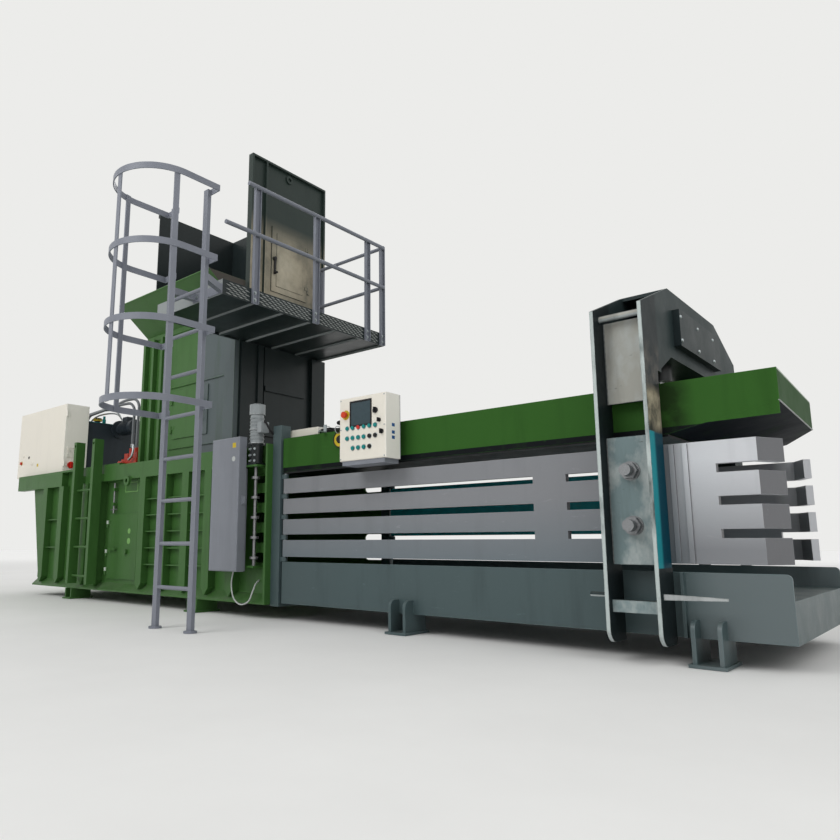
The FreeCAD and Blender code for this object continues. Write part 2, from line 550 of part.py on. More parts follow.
def wall_hinge_pins():
    pin = rod("hinge_pin", "z", "pin_x", "-channel_half + wall_thick / 2",
              "wall_bottom - lug_height - lug_gap", "pin_radius",
              "wall_top - wall_bottom + 2 * (lug_height + lug_gap)")
    head = rod("hinge_pin_head", "z", "pin_x", "-channel_half + wall_thick / 2",
               "wall_top + lug_gap + lug_height", "pin_radius + pin_head", "pin_head")
    near = fuse("hinge_pin_near", [pin, head])
    return fuse("hinge_pin_pair", [near, across("hinge_pin_far", near)])


def beam_plan(inset):
    """The beam seen from above: its far corner at the outlet is cut off."""
    side = f"channel_half - {inset}"
    near_end = f"beam_reach - {inset}"
    far_end = f"{near_end} - beam_skew"
    return [(f"beam_start + {inset}", f"-({side})"), (near_end, f"-({side})"),
            (far_end, f"{side} - beam_chamfer_y"), (f"{far_end} - beam_chamfer_x", side),
            (f"beam_start + {inset}", side)]


def beam_slope(name, lift):
    """What lies below the beam's rising underside at the outlet, up to a lift above it."""
    low = "beam_bottom - 2 * cut_over"
    return slab(name, "XZ", [("beam_rise_x", low), ("beam_reach", low),
                             ("beam_reach", f"beam_bottom + beam_rise + {lift}"),
                             ("beam_rise_x", f"beam_bottom + {lift}")],
                "-channel_half - cut_over", "2 * (channel_half + cut_over)")


def top_beam():
    """A box of plate, open below as far as the sloped plate that closes it at the outlet."""
    top = "beam_bottom + beam_height"
    shell = slab("beam_shell", "XY", beam_plan("0"), "beam_bottom", "beam_height")
    hollow = slab("beam_hollow", "XY", beam_plan("beam_skin"), "beam_bottom - cut_over",
                  "beam_height + cut_over - beam_skin")
    hollow = cut("beam_inside", hollow, [beam_slope("beam_floor", "beam_skin")])
    shell = cut("beam_box", shell, [hollow, beam_slope("beam_below", "0")])
    root = [("beam_start", top), ("beam_pin_x + beam_eye_half", top)]
    eye = beam_eye("beam_eye", "-beam_lug_y - beam_lug_thick / 2", "beam_lug_thick", root,
                   "beam_pin_radius + pin_play")
    return fuse("beam_weld", [shell, eye, across("beam_eye_far", eye)])


def beam_platen():
    return box("platen_plate", "beam_start + platen_inset", "-channel_half + platen_inset",
               "beam_bottom - platen_thick", "beam_rise_x - beam_start - 2 * platen_inset",
               "2 * (channel_half - platen_inset)", "platen_thick")


# ---- Squeeze portal ---------------------------------------------------------------------------

def portal_plate(name, start):
    """An upright plate that stands astride the channel, with chamfered shoulders."""
    weld = "channel_half"
    free = "channel_half + portal_side_play"
    chamfer = "leg_inner_half - opening_chamfer"
    low = "opening_top - opening_shoulder"
    notch = "tray_top + leg_notch"
    right = [("crown_half", "portal_crown"), ("portal_half", "portal_shoulder"),
             ("portal_half", "portal_foot"), (weld, "portal_foot"), (weld, notch),
             (free, notch), (free, "leg_step"), ("leg_inner_half", "leg_step"),
             ("leg_inner_half", low), (chamfer, "opening_top")]
    left = [(f"-({u})", v) for u, v in reversed(right)]
    plate = slab(name, "YZ", right + left, start, "portal_plate")
    return round_edges(name + "_round", plate, "portal_foot_round",
                       lambda way, middle: abs(way.x) > 0.9 and middle.z < size("portal_foot") + 1
                       and abs(middle.y) > size("portal_half") - 1)


def portal_side():
    """Webs and bars between the two plates on the near side."""
    start = "portal_x + portal_plate"
    gap = "portal_pitch - portal_plate"
    lower = box("lower_web", start, "-web_y", "web_bottom", gap, "web_thick",
                "web_top - web_bottom")
    upper = box("upper_web", start, "-upper_web_y", "upper_web_bottom", gap, "web_thick",
                "upper_web_top - upper_web_bottom")
    tie = box("square_tie", start, "-portal_half + tie_inset", "tie_bottom", gap, "tie_size",
              "tie_size")
    spacer = rod("round_tie", "x", start, "-portal_half + round_tie_inset",
                 "portal_shoulder - round_tie_drop", "round_tie", gap)
    stub = rod("bar_stub", "x", "bar_start", "-portal_half + bar_inset", "bar_z", "bar_radius",
               "portal_x - bar_start")
    end = "portal_x + portal_pitch + portal_plate"
    blade = slab("bar_blade", "XZ", [(end, "bar_z - blade_root"), ("blade_end", "bar_z - blade_tip"),
                                     ("blade_end", "bar_z + blade_tip"), (end, "bar_z + blade_root")],
                 "-portal_half + bar_inset - blade_thick / 2", "blade_thick")
    return [lower, upper, tie, spacer, stub, blade]


def portal_frame():
    start = "portal_x + portal_plate"
    gap = "portal_pitch - portal_plate"
    near = portal_side()
    crown = box("crown_web", start, "-crown_half", "portal_crown - web_thick", gap,
                "2 * crown_half", "web_thick")
    seat = box("jack_seat", start, "-leg_inner_half", "opening_top", gap, "2 * leg_inner_half",
               "web_thick")
    plates = [portal_plate("portal_left", "portal_x"),
              portal_plate("portal_right", "portal_x + portal_pitch")]
    far = [across(f"portal_far_{i}", part) for i, part in enumerate(near)]
    return fuse("portal_weld", plates + near + far + [crown, seat])


def portal_studs():
    """The jacks' threaded necks with their nuts, outside the lower webs."""
    studs = []
    for i in (0, 1):
        z = f"nut_low + {i} * nut_pitch"
        neck = rod(f"stud_{i}", "y", "jack_x", "-web_y - stud_reach", z, "stud_radius", "stud_reach")
        washer = rod(f"washer_{i}", "y", "jack_x", "-web_y - washer_thick", z, "washer_radius",
                     "washer_thick")
        nut = hexagon(f"nut_{i}", "y", "jack_x", "-web_y - washer_thick - nut_height", z,
                      "nut_flats", "nut_height")
        studs.append(fuse(f"stud_nut_{i}", [neck, washer, nut]))
    return fuse("stud_group", studs + [across(f"stud_far_{i}", s) for i, s in enumerate(studs)])


def squeeze_cylinders():
    """Short jacks behind the webs, and two upright ones under the crown."""
    jacks = []
    for i in (0, 1):
        z = f"nut_low + {i} * nut_pitch"
        case = rod(f"jack_case_{i}", "y", "jack_x", "-web_y + web_thick", z, "jack_radius",
                   "jack_length")
        bore = rod(f"jack_bore_{i}", "y", "jack_x", "-web_y + web_thick + jack_base", z,
                   "jack_rod_radius + jack_play", "jack_length")
        jacks.append(cut(f"jack_{i}", case, [bore]))
    low = "opening_top - top_jack_case"
    case = rod("top_jack_body", "z", "jack_x", "-top_jack_y", low, "top_jack_radius",
               "top_jack_case")
    bore = rod("top_jack_bore", "z", "jack_x", "-top_jack_y", f"{low} - cut_over",
               "top_jack_rod + rod_play", "top_jack_case + cut_over - jack_base")
    jacks.append(cut("top_jack", case, [bore]))
    return fuse("jack_group", jacks + [across(f"jack_far_{i}", j) for i, j in enumerate(jacks)])


def top_jack_rods():
    low = "beam_bottom + beam_height + rod_foot_play"
    foot_end = cone("rod_foot", "jack_x", "-top_jack_y", low, "rod_foot_radius", "top_jack_rod",
                    "rod_foot_height")
    low = f"{low} + rod_foot_height"
    shaft = rod("rod_shaft", "z", "jack_x", "-top_jack_y", low, "top_jack_rod",
                f"opening_top - rod_entry - ({low})")
    near = fuse("top_rod_near", [foot_end, shaft])
    return fuse("top_rod_pair", [near, across("top_rod_far", near)])


def plaque():
    """The bare raised box on the portal's outlet side."""
    plate = box("plaque_box", "portal_x + portal_pitch + portal_plate", "-plaque_half",
                "plaque_bottom", "plaque_thick", "2 * plaque_half", "plaque_height")
    return round_edges("plaque_rounded", plate, "plaque_round", lambda way, middle: abs(way.x) > 0.9)


node("channel_tray", channel_tray())
node("near_wall", squeeze_wall("near", "wall_straight"))
node("far_wall", across("far_wall_twin", squeeze_wall("far", "wall_straight - far_wall_short")))
node("flange_frame", flange_frame())
node("wall_hinge_pins", wall_hinge_pins())
node("top_beam", top_beam())
node("beam_platen", beam_platen())
node("portal_frame", portal_frame())
node("portal_studs", portal_studs())
node("squeeze_cylinders", squeeze_cylinders())
node("top_jack_rods", top_jack_rods())
node("portal_plaque", plaque())


# ---- Hinges -----------------------------------------------------------------------------------

# A hinge pin's radius as a share of its knuckle's.
PIN_SHARE = 0.45


def hinge(name, x, y, z, radius, fixed_leaf, moving_leaf):
    """One upright hinge: the lower knuckle keeps the pin, the upper one turns with its door.
    A leaf is the x, y, length and width of a flat strip that ends in the knuckle."""
    half = "hinge_length / 2"
    pin = f"({radius}) * {PIN_SHARE}"
    low = rod(name + "_low", "z", x, y, z, radius, f"{half} - pin_play")
    core = rod(name + "_pin", "z", x, y, z, pin, "hinge_length")
    fixed_strip = box(name + "_fixed_leaf", fixed_leaf[0], fixed_leaf[1], z, fixed_leaf[2],
                      fixed_leaf[3], f"{half} - pin_play")
    high = rod(name + "_high", "z", x, y, f"{z} + {half}", radius, half)
    moving_strip = box(name + "_moving_leaf", moving_leaf[0], moving_leaf[1], f"{z} + {half}",
                       moving_leaf[2], moving_leaf[3], half)
    bore = rod(name + "_bore", "z", x, y, f"{z} + {half} - cut_over", f"{pin} + pin_play",
               f"{half} + 2 * cut_over")
    turning = cut(name + "_turning", fuse(name + "_upper", [high, moving_strip]), [bore])
    return fuse(name + "_lower", [low, core, fixed_strip]), turning


def side_hinges(name, x, face, edge, levels):
    """Hinges at the left of a door that lies on a face of the near side. The door's own plate
    starts at edge."""
    fixed, turning = [], []
    axis_y = f"{face} - hinge_radius - door_play"
    outside = f"{face} - door_play - door_thick"
    for i, z in enumerate(levels):
        fixed_leaf = (f"{x} - 3 * hinge_radius", f"{face} - leaf_thick", "3 * hinge_radius",
                      "leaf_thick")
        moving_leaf = (x, f"{outside} - door_leaf_thick", f"({edge}) - ({x}) + leaf_lap",
                       "door_leaf_thick")
        pair = hinge(f"{name}_hinge_{i}", x, axis_y, z, "hinge_radius", fixed_leaf, moving_leaf)
        fixed.append(pair[0])
        turning.append(pair[1])
    return fixed, turning


# ---- Press body -------------------------------------------------------------------------------

SIDE_FACE = "-channel_half"
# Where the uprights stand, and which runs of the side have which of the level ribs.
POSTS = (4050, 3650, 3075, 2800, 1940, 1570, 1220, 880, 550)
RIBBED = ((POSTS[4], POSTS[8], range(5)), (POSTS[0], POSTS[1], (1, 3)))


def body_post(name, x):
    """An upright whose lower end is cut to a point."""
    low = "body_bottom + ledge_rise / 2"
    outline = [(f"-{x} - post_width / 2", f"{low} + post_tip"), (f"-{x}", low),
               (f"-{x} + post_width / 2", f"{low} + post_tip"),
               (f"-{x} + post_width / 2", "rail_bottom"), (f"-{x} - post_width / 2", "rail_bottom")]
    return slab(name, "XZ", outline, "-channel_half - post_depth", "post_depth")


def needle_slots(name):
    tools = []
    half = "needle_slot_width / 2"
    for i in WIRE_LINES:
        z = slot_centre(i)
        start = "-needle_x - needle_slot_length / 2"
        tools.append(box(f"{name}_box_{i + 1}", start, "-channel_half - cut_over",
                         f"{z} - {half}", "needle_slot_length", "body_skin + 2 * cut_over",
                         "needle_slot_width"))
        for end, x in enumerate((start, f"{start} + needle_slot_length")):
            tools.append(rod(f"{name}_end_{i + 1}_{end}", "y", x, "-channel_half - cut_over", z,
                             half, "body_skin + 2 * cut_over"))
    return tools


def body_side(name, with_door):
    depth = "post_depth"
    outline = [("-body_foot_length", "body_bottom"), ("-flange_thick", "body_bottom"),
               ("-flange_thick", "body_top"), ("-body_length", "body_top")]
    windows = []
    if with_door:
        left, right = "-door_left + door_lap", "-door_right - door_lap"
        low, high = "door_bottom + door_lap", "door_top - door_lap"
        windows = [[(left, low), (right, low), (right, high), (left, high)]]
    plate = slab(name + "_plate", "XZ", outline, SIDE_FACE, "body_skin", windows=windows)
    parts = [cut(name + "_slotted", plate, needle_slots(name + "_slot"))]
    parts += [body_post(f"{name}_post_{i}", x) for i, x in enumerate(POSTS)]
    front = "-channel_half - post_depth"
    rails = (("rail_reach", "rail_break"), ("rail_restart", "rail_end"))
    parts += [box(f"{name}_rail_{i}", f"-{start}", front, "rail_bottom", f"{start} - {end}", depth,
                  "body_top - rail_bottom") for i, (start, end) in enumerate(rails)]
    parts += [box(f"{name}_rib_{left}_{i}", f"-{left}", "-channel_half - rib_depth",
                  f"rib_first + {i} * rib_pitch", f"{left} - {right}", "rib_depth", "rib_thick")
              for left, right, levels in RIBBED for i in levels]
    slope = [("-channel_half", "body_bottom"), ("-channel_half", "body_bottom + ledge_rise"),
             ("-channel_half - ledge_depth", "body_bottom + ledge_lip"),
             ("-channel_half - ledge_depth", "body_bottom")]
    parts.append(slab(name + "_ledge", "YZ", slope, "-body_foot_length",
                      "body_foot_length - flange_thick"))
    parts.append(box(name + "_flange", "-flange_thick - end_flange", front, "body_bottom",
                     "end_flange", depth, "body_top - body_bottom"))
    return parts


def lifting_eye():
    face = "-channel_half - post_depth - eye_thick"
    z = "rail_bottom - eye_drop"
    disc = rod("eye_disc", "y", "-eye_x", face, z, "eye_radius", "eye_thick")
    hole = rod("eye_bore", "y", "-eye_x", f"{face} - cut_over", z, "eye_hole",
               "eye_thick + 2 * cut_over")
    return cut("eye", disc, [hole])


def body_near_side(door_hinges):
    reach = "gear_y + gear_radius + shelf_margin"
    shelf = box("motor_shelf", "-gear_x - shelf_half", f"-({reach})", "gear_z - body_skin",
                "2 * shelf_half", f"{reach} - channel_half", "body_skin")
    passage = rod("shelf_bore", "z", "-gear_x", "-gear_y", "gear_z - body_skin - cut_over",
                  "shaft_radius + pin_play", "body_skin + 2 * cut_over")
    step = box("shaft_step", "-gear_x - step_half", "-gear_y - step_half",
               "tying_bottom + step_lift", "2 * step_half", "gear_y + step_half - channel_half",
               "body_skin")
    parts = body_side("near", True) + [lifting_eye(), cut("shelf", shelf, [passage]), step]
    return fuse("near_side_weld", parts + door_hinges)


def body_far_side():
    parts = body_side("far", False)
    return across("far_side_weld", fuse("far_side_twin", parts))


def body_core():
    """Floor, ceilings, bulkhead, rear plate and decks between the two sides."""
    half = "channel_half - body_skin"
    width = f"2 * ({half})"
    ceiling = "beam_bottom - platen_thick"
    deck_end = "chute_back + deck_lap"

    def plate(name, start, end, z, thick):
        return box(name, f"-({start})", f"-({half})", z, f"({start}) - ({end})", width, thick)

    def web(name, x, z, top):
        return box(name, f"-({x})", f"-({half})", z, "roof_thick", width, f"({top}) - ({z})")

    parts = [plate("floor", "bulkhead_x", "flange_thick", "tray_floor - roof_thick", "roof_thick"),
             plate("rear_ceiling", "bulkhead_x", "chute_back", ceiling, "roof_thick"),
             plate("front_ceiling", "chute_front", "flange_thick", ceiling, "roof_thick"),
             plate("front_roof", "chute_front", "flange_thick", "roof_z - roof_thick",
                   "roof_thick"),
             web("chute_web", "chute_back + roof_thick", ceiling, "body_top"),
             web("shear_web", "chute_front", ceiling, "roof_z - roof_thick")]
    parts.append(box("rear_deck", "-rail_reach", "-channel_half - post_depth", "body_top",
                     f"rail_reach - ({deck_end})", "2 * (channel_half + post_depth)",
                     "roof_thick"))
    strip = box("chute_ledge", "-chute_back", f"-({half})", "roof_z - roof_thick",
                "chute_back - chute_front", f"{half} - tower_half", "roof_thick")
    parts += [strip, across("chute_ledge_far", strip)]
    window = [[(f"-({half})", "body_bottom + roof_thick"), (half, "body_bottom + roof_thick"),
               (half, "body_top"), (f"-({half})", "body_top")]]
    parts.append(slab("bulkhead", "YZ", window[0], "-bulkhead_x - roof_thick", "roof_thick",
                      holes=[("0", "cylinder_z", "barrel_radius + pin_play")]))
    slope = [("-body_length", "body_top"), ("-body_foot_length", "body_bottom"),
             ("-body_foot_length + roof_thick", "body_bottom"),
             ("-body_length + roof_thick", "body_top")]
    rear = slab("rear_plate", "XZ", slope, f"-({half})", width)
    parts.append(cut("rear_open", rear, [rod("rear_bore", "x", "-barrel_end", "0", "cylinder_z",
                                             "rear_opening", "barrel_end")]))
    for i, x in enumerate(("front_foot_x", "rear_foot_x", "inner_bearer_x", "front_bearer_x")):
        parts.append(box(f"body_bearer_{i}", f"{x} - foot_width / 2", f"-({half})", "body_bottom",
                         "foot_width", width, "tray_floor - roof_thick - body_bottom"))
    parts += both_feet("front_foot", "front_foot_x", "body_bottom", "body_bottom")
    parts += both_feet("rear_foot", "rear_foot_x", "body_bottom", "body_bottom")
    return fuse("core_weld", parts)


def access_door(turning):
    face = f"{SIDE_FACE} - door_play - door_thick"
    plate = box("door_plate", "-door_left", face, "door_bottom", "door_left - door_right",
                "door_thick", "door_top - door_bottom")
    handle = box("door_handle", "-door_left + handle_inset", f"{face} - handle_stand",
                 "door_bottom + handle_rise", "handle_length", "handle_width", "handle_height")
    neck = box("door_handle_neck", "-door_left + handle_inset + neck_inset",
               f"{face} - handle_stand + handle_width / 2",
               "door_bottom + handle_rise + (handle_height - neck_height) / 2", "neck_width",
               "handle_stand - handle_width / 2", "neck_height")
    knob = rod("door_knob", "y", "-door_right - knob_inset", f"{face} - knob_length",
               "door_bottom + knob_rise", "knob_radius", "knob_length")
    return fuse("door_weld", [plate, handle, neck, knob] + turning)


BOLT_X = "-door_left + bolt_inset"
BOLT_Y = "-channel_half - door_thick - bolt_radius - bolt_gap"


def drop_bolt():
    """The upright bolt above the access door, with its cross handle, in its lifted place."""
    shaft = rod("bolt_shaft", "z", BOLT_X, BOLT_Y, "door_top + bolt_lift", "bolt_radius",
                "bolt_length - bolt_lift - bolt_top")
    arm = rod("bolt_arm_bar", "x", f"{BOLT_X} - bolt_arm_half", BOLT_Y,
              "door_top + bolt_arm_rise", "bolt_arm", "2 * bolt_arm_half")
    return fuse("bolt_weld", [shaft, arm])


def bolt_guides():
    """Two drilled blocks on the body that keep the bolt upright."""
    blocks = []
    for i, z in enumerate(("door_top + guide_low", "door_top + guide_high")):
        block = box(f"guide_block_{i}", f"{BOLT_X} - guide_half", f"{BOLT_Y} - guide_front", z,
                    "2 * guide_half", "guide_front + bolt_radius + door_thick + bolt_gap",
                    "guide_height")
        bore = rod(f"guide_bore_{i}", "z", BOLT_X, BOLT_Y, f"{z} - cut_over",
                   "bolt_radius + pin_play", "guide_height + 2 * cut_over")
        blocks.append(cut(f"guide_{i}", block, [bore]))
    return blocks


# ---- Ram and main cylinder --------------------------------------------------------------------

def ram():
    """A hollow platen box, open at the rear, with a groove at each wire line."""
    half = "channel_half - body_skin - ram_play"
    low = "tray_floor + ram_skid"
    high = "beam_bottom - platen_thick - ram_play"
    rear = "-ram_front - ram_length"
    solid = box("ram_solid", rear, f"-({half})", low, "ram_length", f"2 * ({half})",
                f"{high} - ({low})")
    hollow = box("ram_hollow", f"{rear} - cut_over", f"-({half}) + ram_skin",
                 f"{low} + ram_skin", "ram_length + cut_over - ram_plate", f"2 * ({half} - ram_skin)",
                 f"{high} - ({low}) - 2 * ram_skin")
    grooves = [box(f"ram_groove_{i + 1}", "-ram_front - groove_depth", f"-({half}) - cut_over",
                   f"{slot_centre(i)} - groove_half", "groove_depth + cut_over",
                   f"2 * ({half} + cut_over)", "2 * groove_half") for i in WIRE_LINES]
    return cut("ram_box", solid, [hollow] + grooves)


def ram_rod():
    start = "-barrel_end + piston_back"
    piston = rod("piston", "x", start, "0", "cylinder_z", "barrel_bore - pin_play",
                 "piston_length")
    shaft = rod("ram_shaft", "x", f"{start} + piston_length", "0", "cylinder_z", "rod_radius",
                "barrel_end - piston_back - piston_length - ram_front - ram_plate")
    return fuse("ram_rod_solid", [piston, shaft])


def main_cylinder():
    length = "barrel_end - barrel_front"
    case = rod("barrel", "x", "-barrel_end", "0", "cylinder_z", "barrel_radius", length)
    flange = rod("barrel_flange", "x", "-bulkhead_x", "0", "cylinder_z", "cylinder_flange",
                 "flange_plate")
    bore = rod("barrel_inside", "x", "-barrel_end + barrel_base", "0", "cylinder_z",
               "barrel_bore", f"{length} - barrel_base - gland_length")
    gland = rod("barrel_gland", "x", "-barrel_front - gland_length - gland_lap", "0",
                "cylinder_z", "rod_radius + pin_play", "gland_length + gland_lap + cut_over")
    return cut("cylinder_solid", fuse("barrel_weld", [case, flange]), [bore, gland])


# ---- Green ladder on the body -----------------------------------------------------------------

def body_ladder():
    front = "-step_y"
    stiles = []
    for i in (0, 1):
        x = f"-step_left + {i} * step_pitch_x"
        stile = box(f"step_stile_{i}", f"{x} - step_stile / 2", front, "step_bottom",
                    "step_stile", "step_deep", "step_top - step_bottom")
        arm = box(f"step_arm_{i}", f"{x} - step_stile / 2", f"{front} + step_deep", "rail_bottom",
                  "step_stile", "step_y - step_deep - channel_half - post_depth", "step_arm")
        hole = rod(f"step_eye_{i}", "y", x, f"{front} - cut_over", "step_top - step_hole_drop",
                   "step_hole", "step_deep + 2 * cut_over")
        stiles.append(cut(f"step_side_{i}", fuse(f"step_solid_{i}", [stile, arm]), [hole]))
    bars = [rod(f"step_bar_{i}", "x", "-step_left", f"{front} + step_deep / 2",
                f"step_first + {i} * step_rise", "step_bar", "step_pitch_x")
            for i in range(int(size("step_count")))]
    return fuse("step_weld", stiles + bars)


# ---- Electrical cabinet -----------------------------------------------------------------------

DECK = "body_top + roof_thick"


def electrical_cabinet(hinges):
    """A welded steel case, open towards its door, with a grille and a connector on its side."""
    front = "-channel_half + cabinet_door_thick + door_play"
    depth = "cabinet_depth - cabinet_door_thick - door_play"
    case = box("case", "-cabinet_start - cabinet_length", front, DECK, "cabinet_length", depth,
               "cabinet_height")
    inside = box("case_inside", "-cabinet_start - cabinet_length + cabinet_skin",
                 f"{front} - cut_over", f"{DECK} + cabinet_skin",
                 "cabinet_length - 2 * cabinet_skin", f"{depth} + cut_over - cabinet_skin",
                 "cabinet_height - 2 * cabinet_skin")
    stem = rod("case_stem", "x", "-cabinet_start - cabinet_skin - cut_over", SWITCH_Y, SWITCH_Z,
               "switch_stem + pin_play", "cabinet_skin + 2 * cut_over")
    slats = [box(f"grille_bar_{i}", "-cabinet_start", f"{SWITCH_Y} - grille_half",
                 f"{DECK} + grille_rise + {i} * grille_pitch", "grille_proud",
                 "2 * grille_half", "grille_slat") for i in range(int(size("grille_count")))]
    socket = rod("case_socket", "x", "-cabinet_start", f"{SWITCH_Y} + socket_back",
                 f"{SWITCH_Z} - socket_drop", "socket_radius", "socket_length")
    return fuse("case_weld", [cut("case_open", case, [inside, stem]), socket] + slats + hinges)


SWITCH_Y = "-channel_half + switch_back"
SWITCH_Z = f"{DECK} + switch_rise"


def cabinet_hinges():
    """Hinges at the cabinet's right edge, whose knuckles stand beside the case."""
    fixed, turning = [], []
    axis_x = "-cabinet_start + cabinet_pin + door_play"
    axis_y = f"{SIDE_FACE} + cabinet_pin"
    levels = (f"{DECK} + cabinet_hinge_edge",
              f"{DECK} + cabinet_height - cabinet_hinge_edge - hinge_length")
    for i, z in enumerate(levels):
        fixed_leaf = ("-cabinet_start", f"{axis_y} + leaf_thick", "leaf_thick", "leaf_lap")
        moving_leaf = ("-cabinet_start - cabinet_gap - leaf_thick",
                       f"{axis_y} - door_leaf_thick / 2",
                       "leaf_thick + cabinet_gap + cabinet_pin + door_play", "door_leaf_thick")
        pair = hinge(f"cabinet_hinge_{i}", axis_x, axis_y, z, "cabinet_pin", fixed_leaf,
                     moving_leaf)
        fixed.append(pair[0])
        turning.append(pair[1])
    return fixed, turning


def cabinet_door(turning):
    door = box("cabinet_leaf", "-cabinet_start - cabinet_length", SIDE_FACE,
               f"{DECK} + door_play", "cabinet_length - cabinet_gap", "cabinet_door_thick",
               "cabinet_height - door_play")
    door = round_edges("cabinet_leaf_round", door, "door_round",
                       lambda way, middle: middle.y < size(SIDE_FACE) + 1)
    hole = rod("stop_bore", "y", STOP_X, f"{SIDE_FACE} - cut_over", STOP_Z,
               "stop_stem + pin_play", "cabinet_door_thick + 2 * cut_over")
    lock = rod("door_lock", "y", f"{STOP_X} + lock_side", f"{SIDE_FACE} - lock_proud",
               f"{STOP_Z} + lock_rise", "lock_radius", "lock_proud")
    knob = rod("door_knob_low", "y", f"{STOP_X} + knob_side", f"{SIDE_FACE} - lock_proud",
               f"{STOP_Z} - knob_drop", "lock_radius", "lock_proud")
    leaf = cut("cabinet_leaf_open", door, [hole])
    return fuse("cabinet_door_weld", [leaf, lock, knob] + turning)


STOP_X = "-cabinet_start - cabinet_length + stop_side"
STOP_Z = f"{DECK} + stop_rise"


def push_cap(name, x, face, z, radius, height, stem):
    """A round cap on a stem; the gap behind the cap is its travel."""
    front = f"{face} - key_travel - pin_play"
    cap = rod(name + "_cap", "y", x, f"{front} - ({height})", z, radius, height)
    shank = rod(name + "_stem", "y", x, front, z, stem, "key_travel + pin_play + stem_depth")
    return fuse(name + "_solid", [cap, shank])


def main_switch():
    face = "-cabinet_start + door_play"
    disc = rod("switch_plate", "x", face, SWITCH_Y, SWITCH_Z, "switch_radius", "switch_disc")
    grip = box("switch_handle", face, f"{SWITCH_Y} - switch_grip_half",
               f"{SWITCH_Z} - switch_radius", "switch_grip", "2 * switch_grip_half",
               "2 * switch_radius")
    stem = rod("switch_shank", "x", "-cabinet_start - cabinet_skin", SWITCH_Y, SWITCH_Z,
               "switch_stem", "cabinet_skin + 2 * door_play")
    return fuse("switch_solid", [disc, grip, stem])


# ---- Hydraulic unit ---------------------------------------------------------------------------

def hydraulic_tank():
    tank = box("tank_box", "-tank_start - tank_length", "-tank_near", DECK, "tank_length",
               "tank_width", "tank_height - lid_thick")
    lid = box("tank_lid", "-tank_start - tank_length", "-tank_near",
              f"{DECK} + tank_height - lid_thick", "tank_length", "tank_width", "lid_thick")
    x, y = "-tank_start - filler_side", "-tank_near + filler_back"
    neck = rod("filler_pipe", "z", x, y, f"{DECK} + tank_height", "filler_radius", "filler_neck")
    cap = rod("filler_cap", "z", x, y, f"{DECK} + tank_height + filler_neck", "cap_radius",
              "cap_height")
    plate = rod("sight_plate", "x", "-tank_start", "-tank_near + tank_width - sight_far",
                f"{DECK} + sight_rise", "sight_radius", "sight_thick")
    return fuse("tank_weld", [tank, lid, neck, cap, plate])


def pump_motor():
    """The electric motor on its bell housing, with a finned case and a fan cowl."""
    start = "-tank_start"
    flange = rod("bell_flange", "x", start, "motor_y", "motor_z", "motor_radius + bell_rim",
                 "bell_plate")
    bell = rod("bell", "x", f"{start} + bell_plate", "motor_y", "motor_z",
               "motor_radius - bell_rim", "bell_length")
    case_start = f"{start} + bell_plate + bell_length"
    case = rod("motor_case", "x", case_start, "motor_y", "motor_z", "motor_radius - fin_depth",
               "motor_length - bell_plate - bell_length")
    fins = [rod(f"motor_fin_{i}", "x", f"{case_start} + bell_plate + {i} * fin_pitch",
                "motor_y", "motor_z", "motor_radius", "fin_thick")
            for i in range(int(size("fin_count")))]
    cowl = rod("motor_cowl", "x", f"{start} + motor_length - cowl_length", "motor_y", "motor_z",
               "motor_radius", "cowl_length")
    terminal = box("motor_terminal", f"{start} + terminal_start", "motor_y - terminal_width / 2",
                   "motor_z + motor_radius - 2 * fin_depth", "terminal_length", "terminal_width",
                   "terminal_height")
    return fuse("motor_weld", [flange, bell, case, cowl, terminal] + fins)


VALVE_PITCH = "(block_length - 2 * valve_margin) / valve_count"


def valve_x(index):
    return f"-block_start + valve_margin + ({index} + 0.5) * {VALVE_PITCH}"


def valve_block():
    """A manifold with a row of valves, each with its upright coil."""
    y = "-block_near"
    manifold = "block_height / 2"
    valve = "block_height / 4"
    base = box("manifold", "-block_start", y, DECK, "block_length", "block_width", manifold)
    bodies = []
    for i in range(int(size("valve_count"))):
        bodies.append(box(f"valve_{i}", f"{valve_x(i)} - ({VALVE_PITCH} - valve_gap) / 2",
                          f"{y} + valve_margin", f"{DECK} + {manifold}",
                          f"{VALVE_PITCH} - valve_gap", "block_width - 2 * valve_margin", valve))
        bodies.append(rod(f"valve_coil_{i}", "z", valve_x(i), f"{y} + block_width / 2",
                          f"{DECK} + {manifold} + {valve}", "coil_radius", valve))
    nose = rod("valve_nose", "y", "-block_start + nose_length", f"{y} - nose_length",
               f"{DECK} + nose_length", "nose_radius", "nose_length")
    return fuse("valve_weld", [base, nose] + bodies)


def hydraulic_pipes():
    """The suction pipe from the tank with its flanges, and the pressure pipe beside it."""
    y = "-block_near + block_width / 2"
    z = f"{DECK} + pipe_rise"
    pipe = rod("suction_pipe", "x", "-tank_start", y, z, "pipe_radius", "tank_start - block_start")
    spots = ("-tank_start", "-tank_start + pipe_joint", "-block_start - pipe_rim")
    rings = [rod(f"pipe_ring_{i}", "x", x, y, z, "pipe_radius + pipe_rim", "pipe_rim")
             for i, x in enumerate(spots)]
    return fuse("pipe_weld", [pipe] + rings)


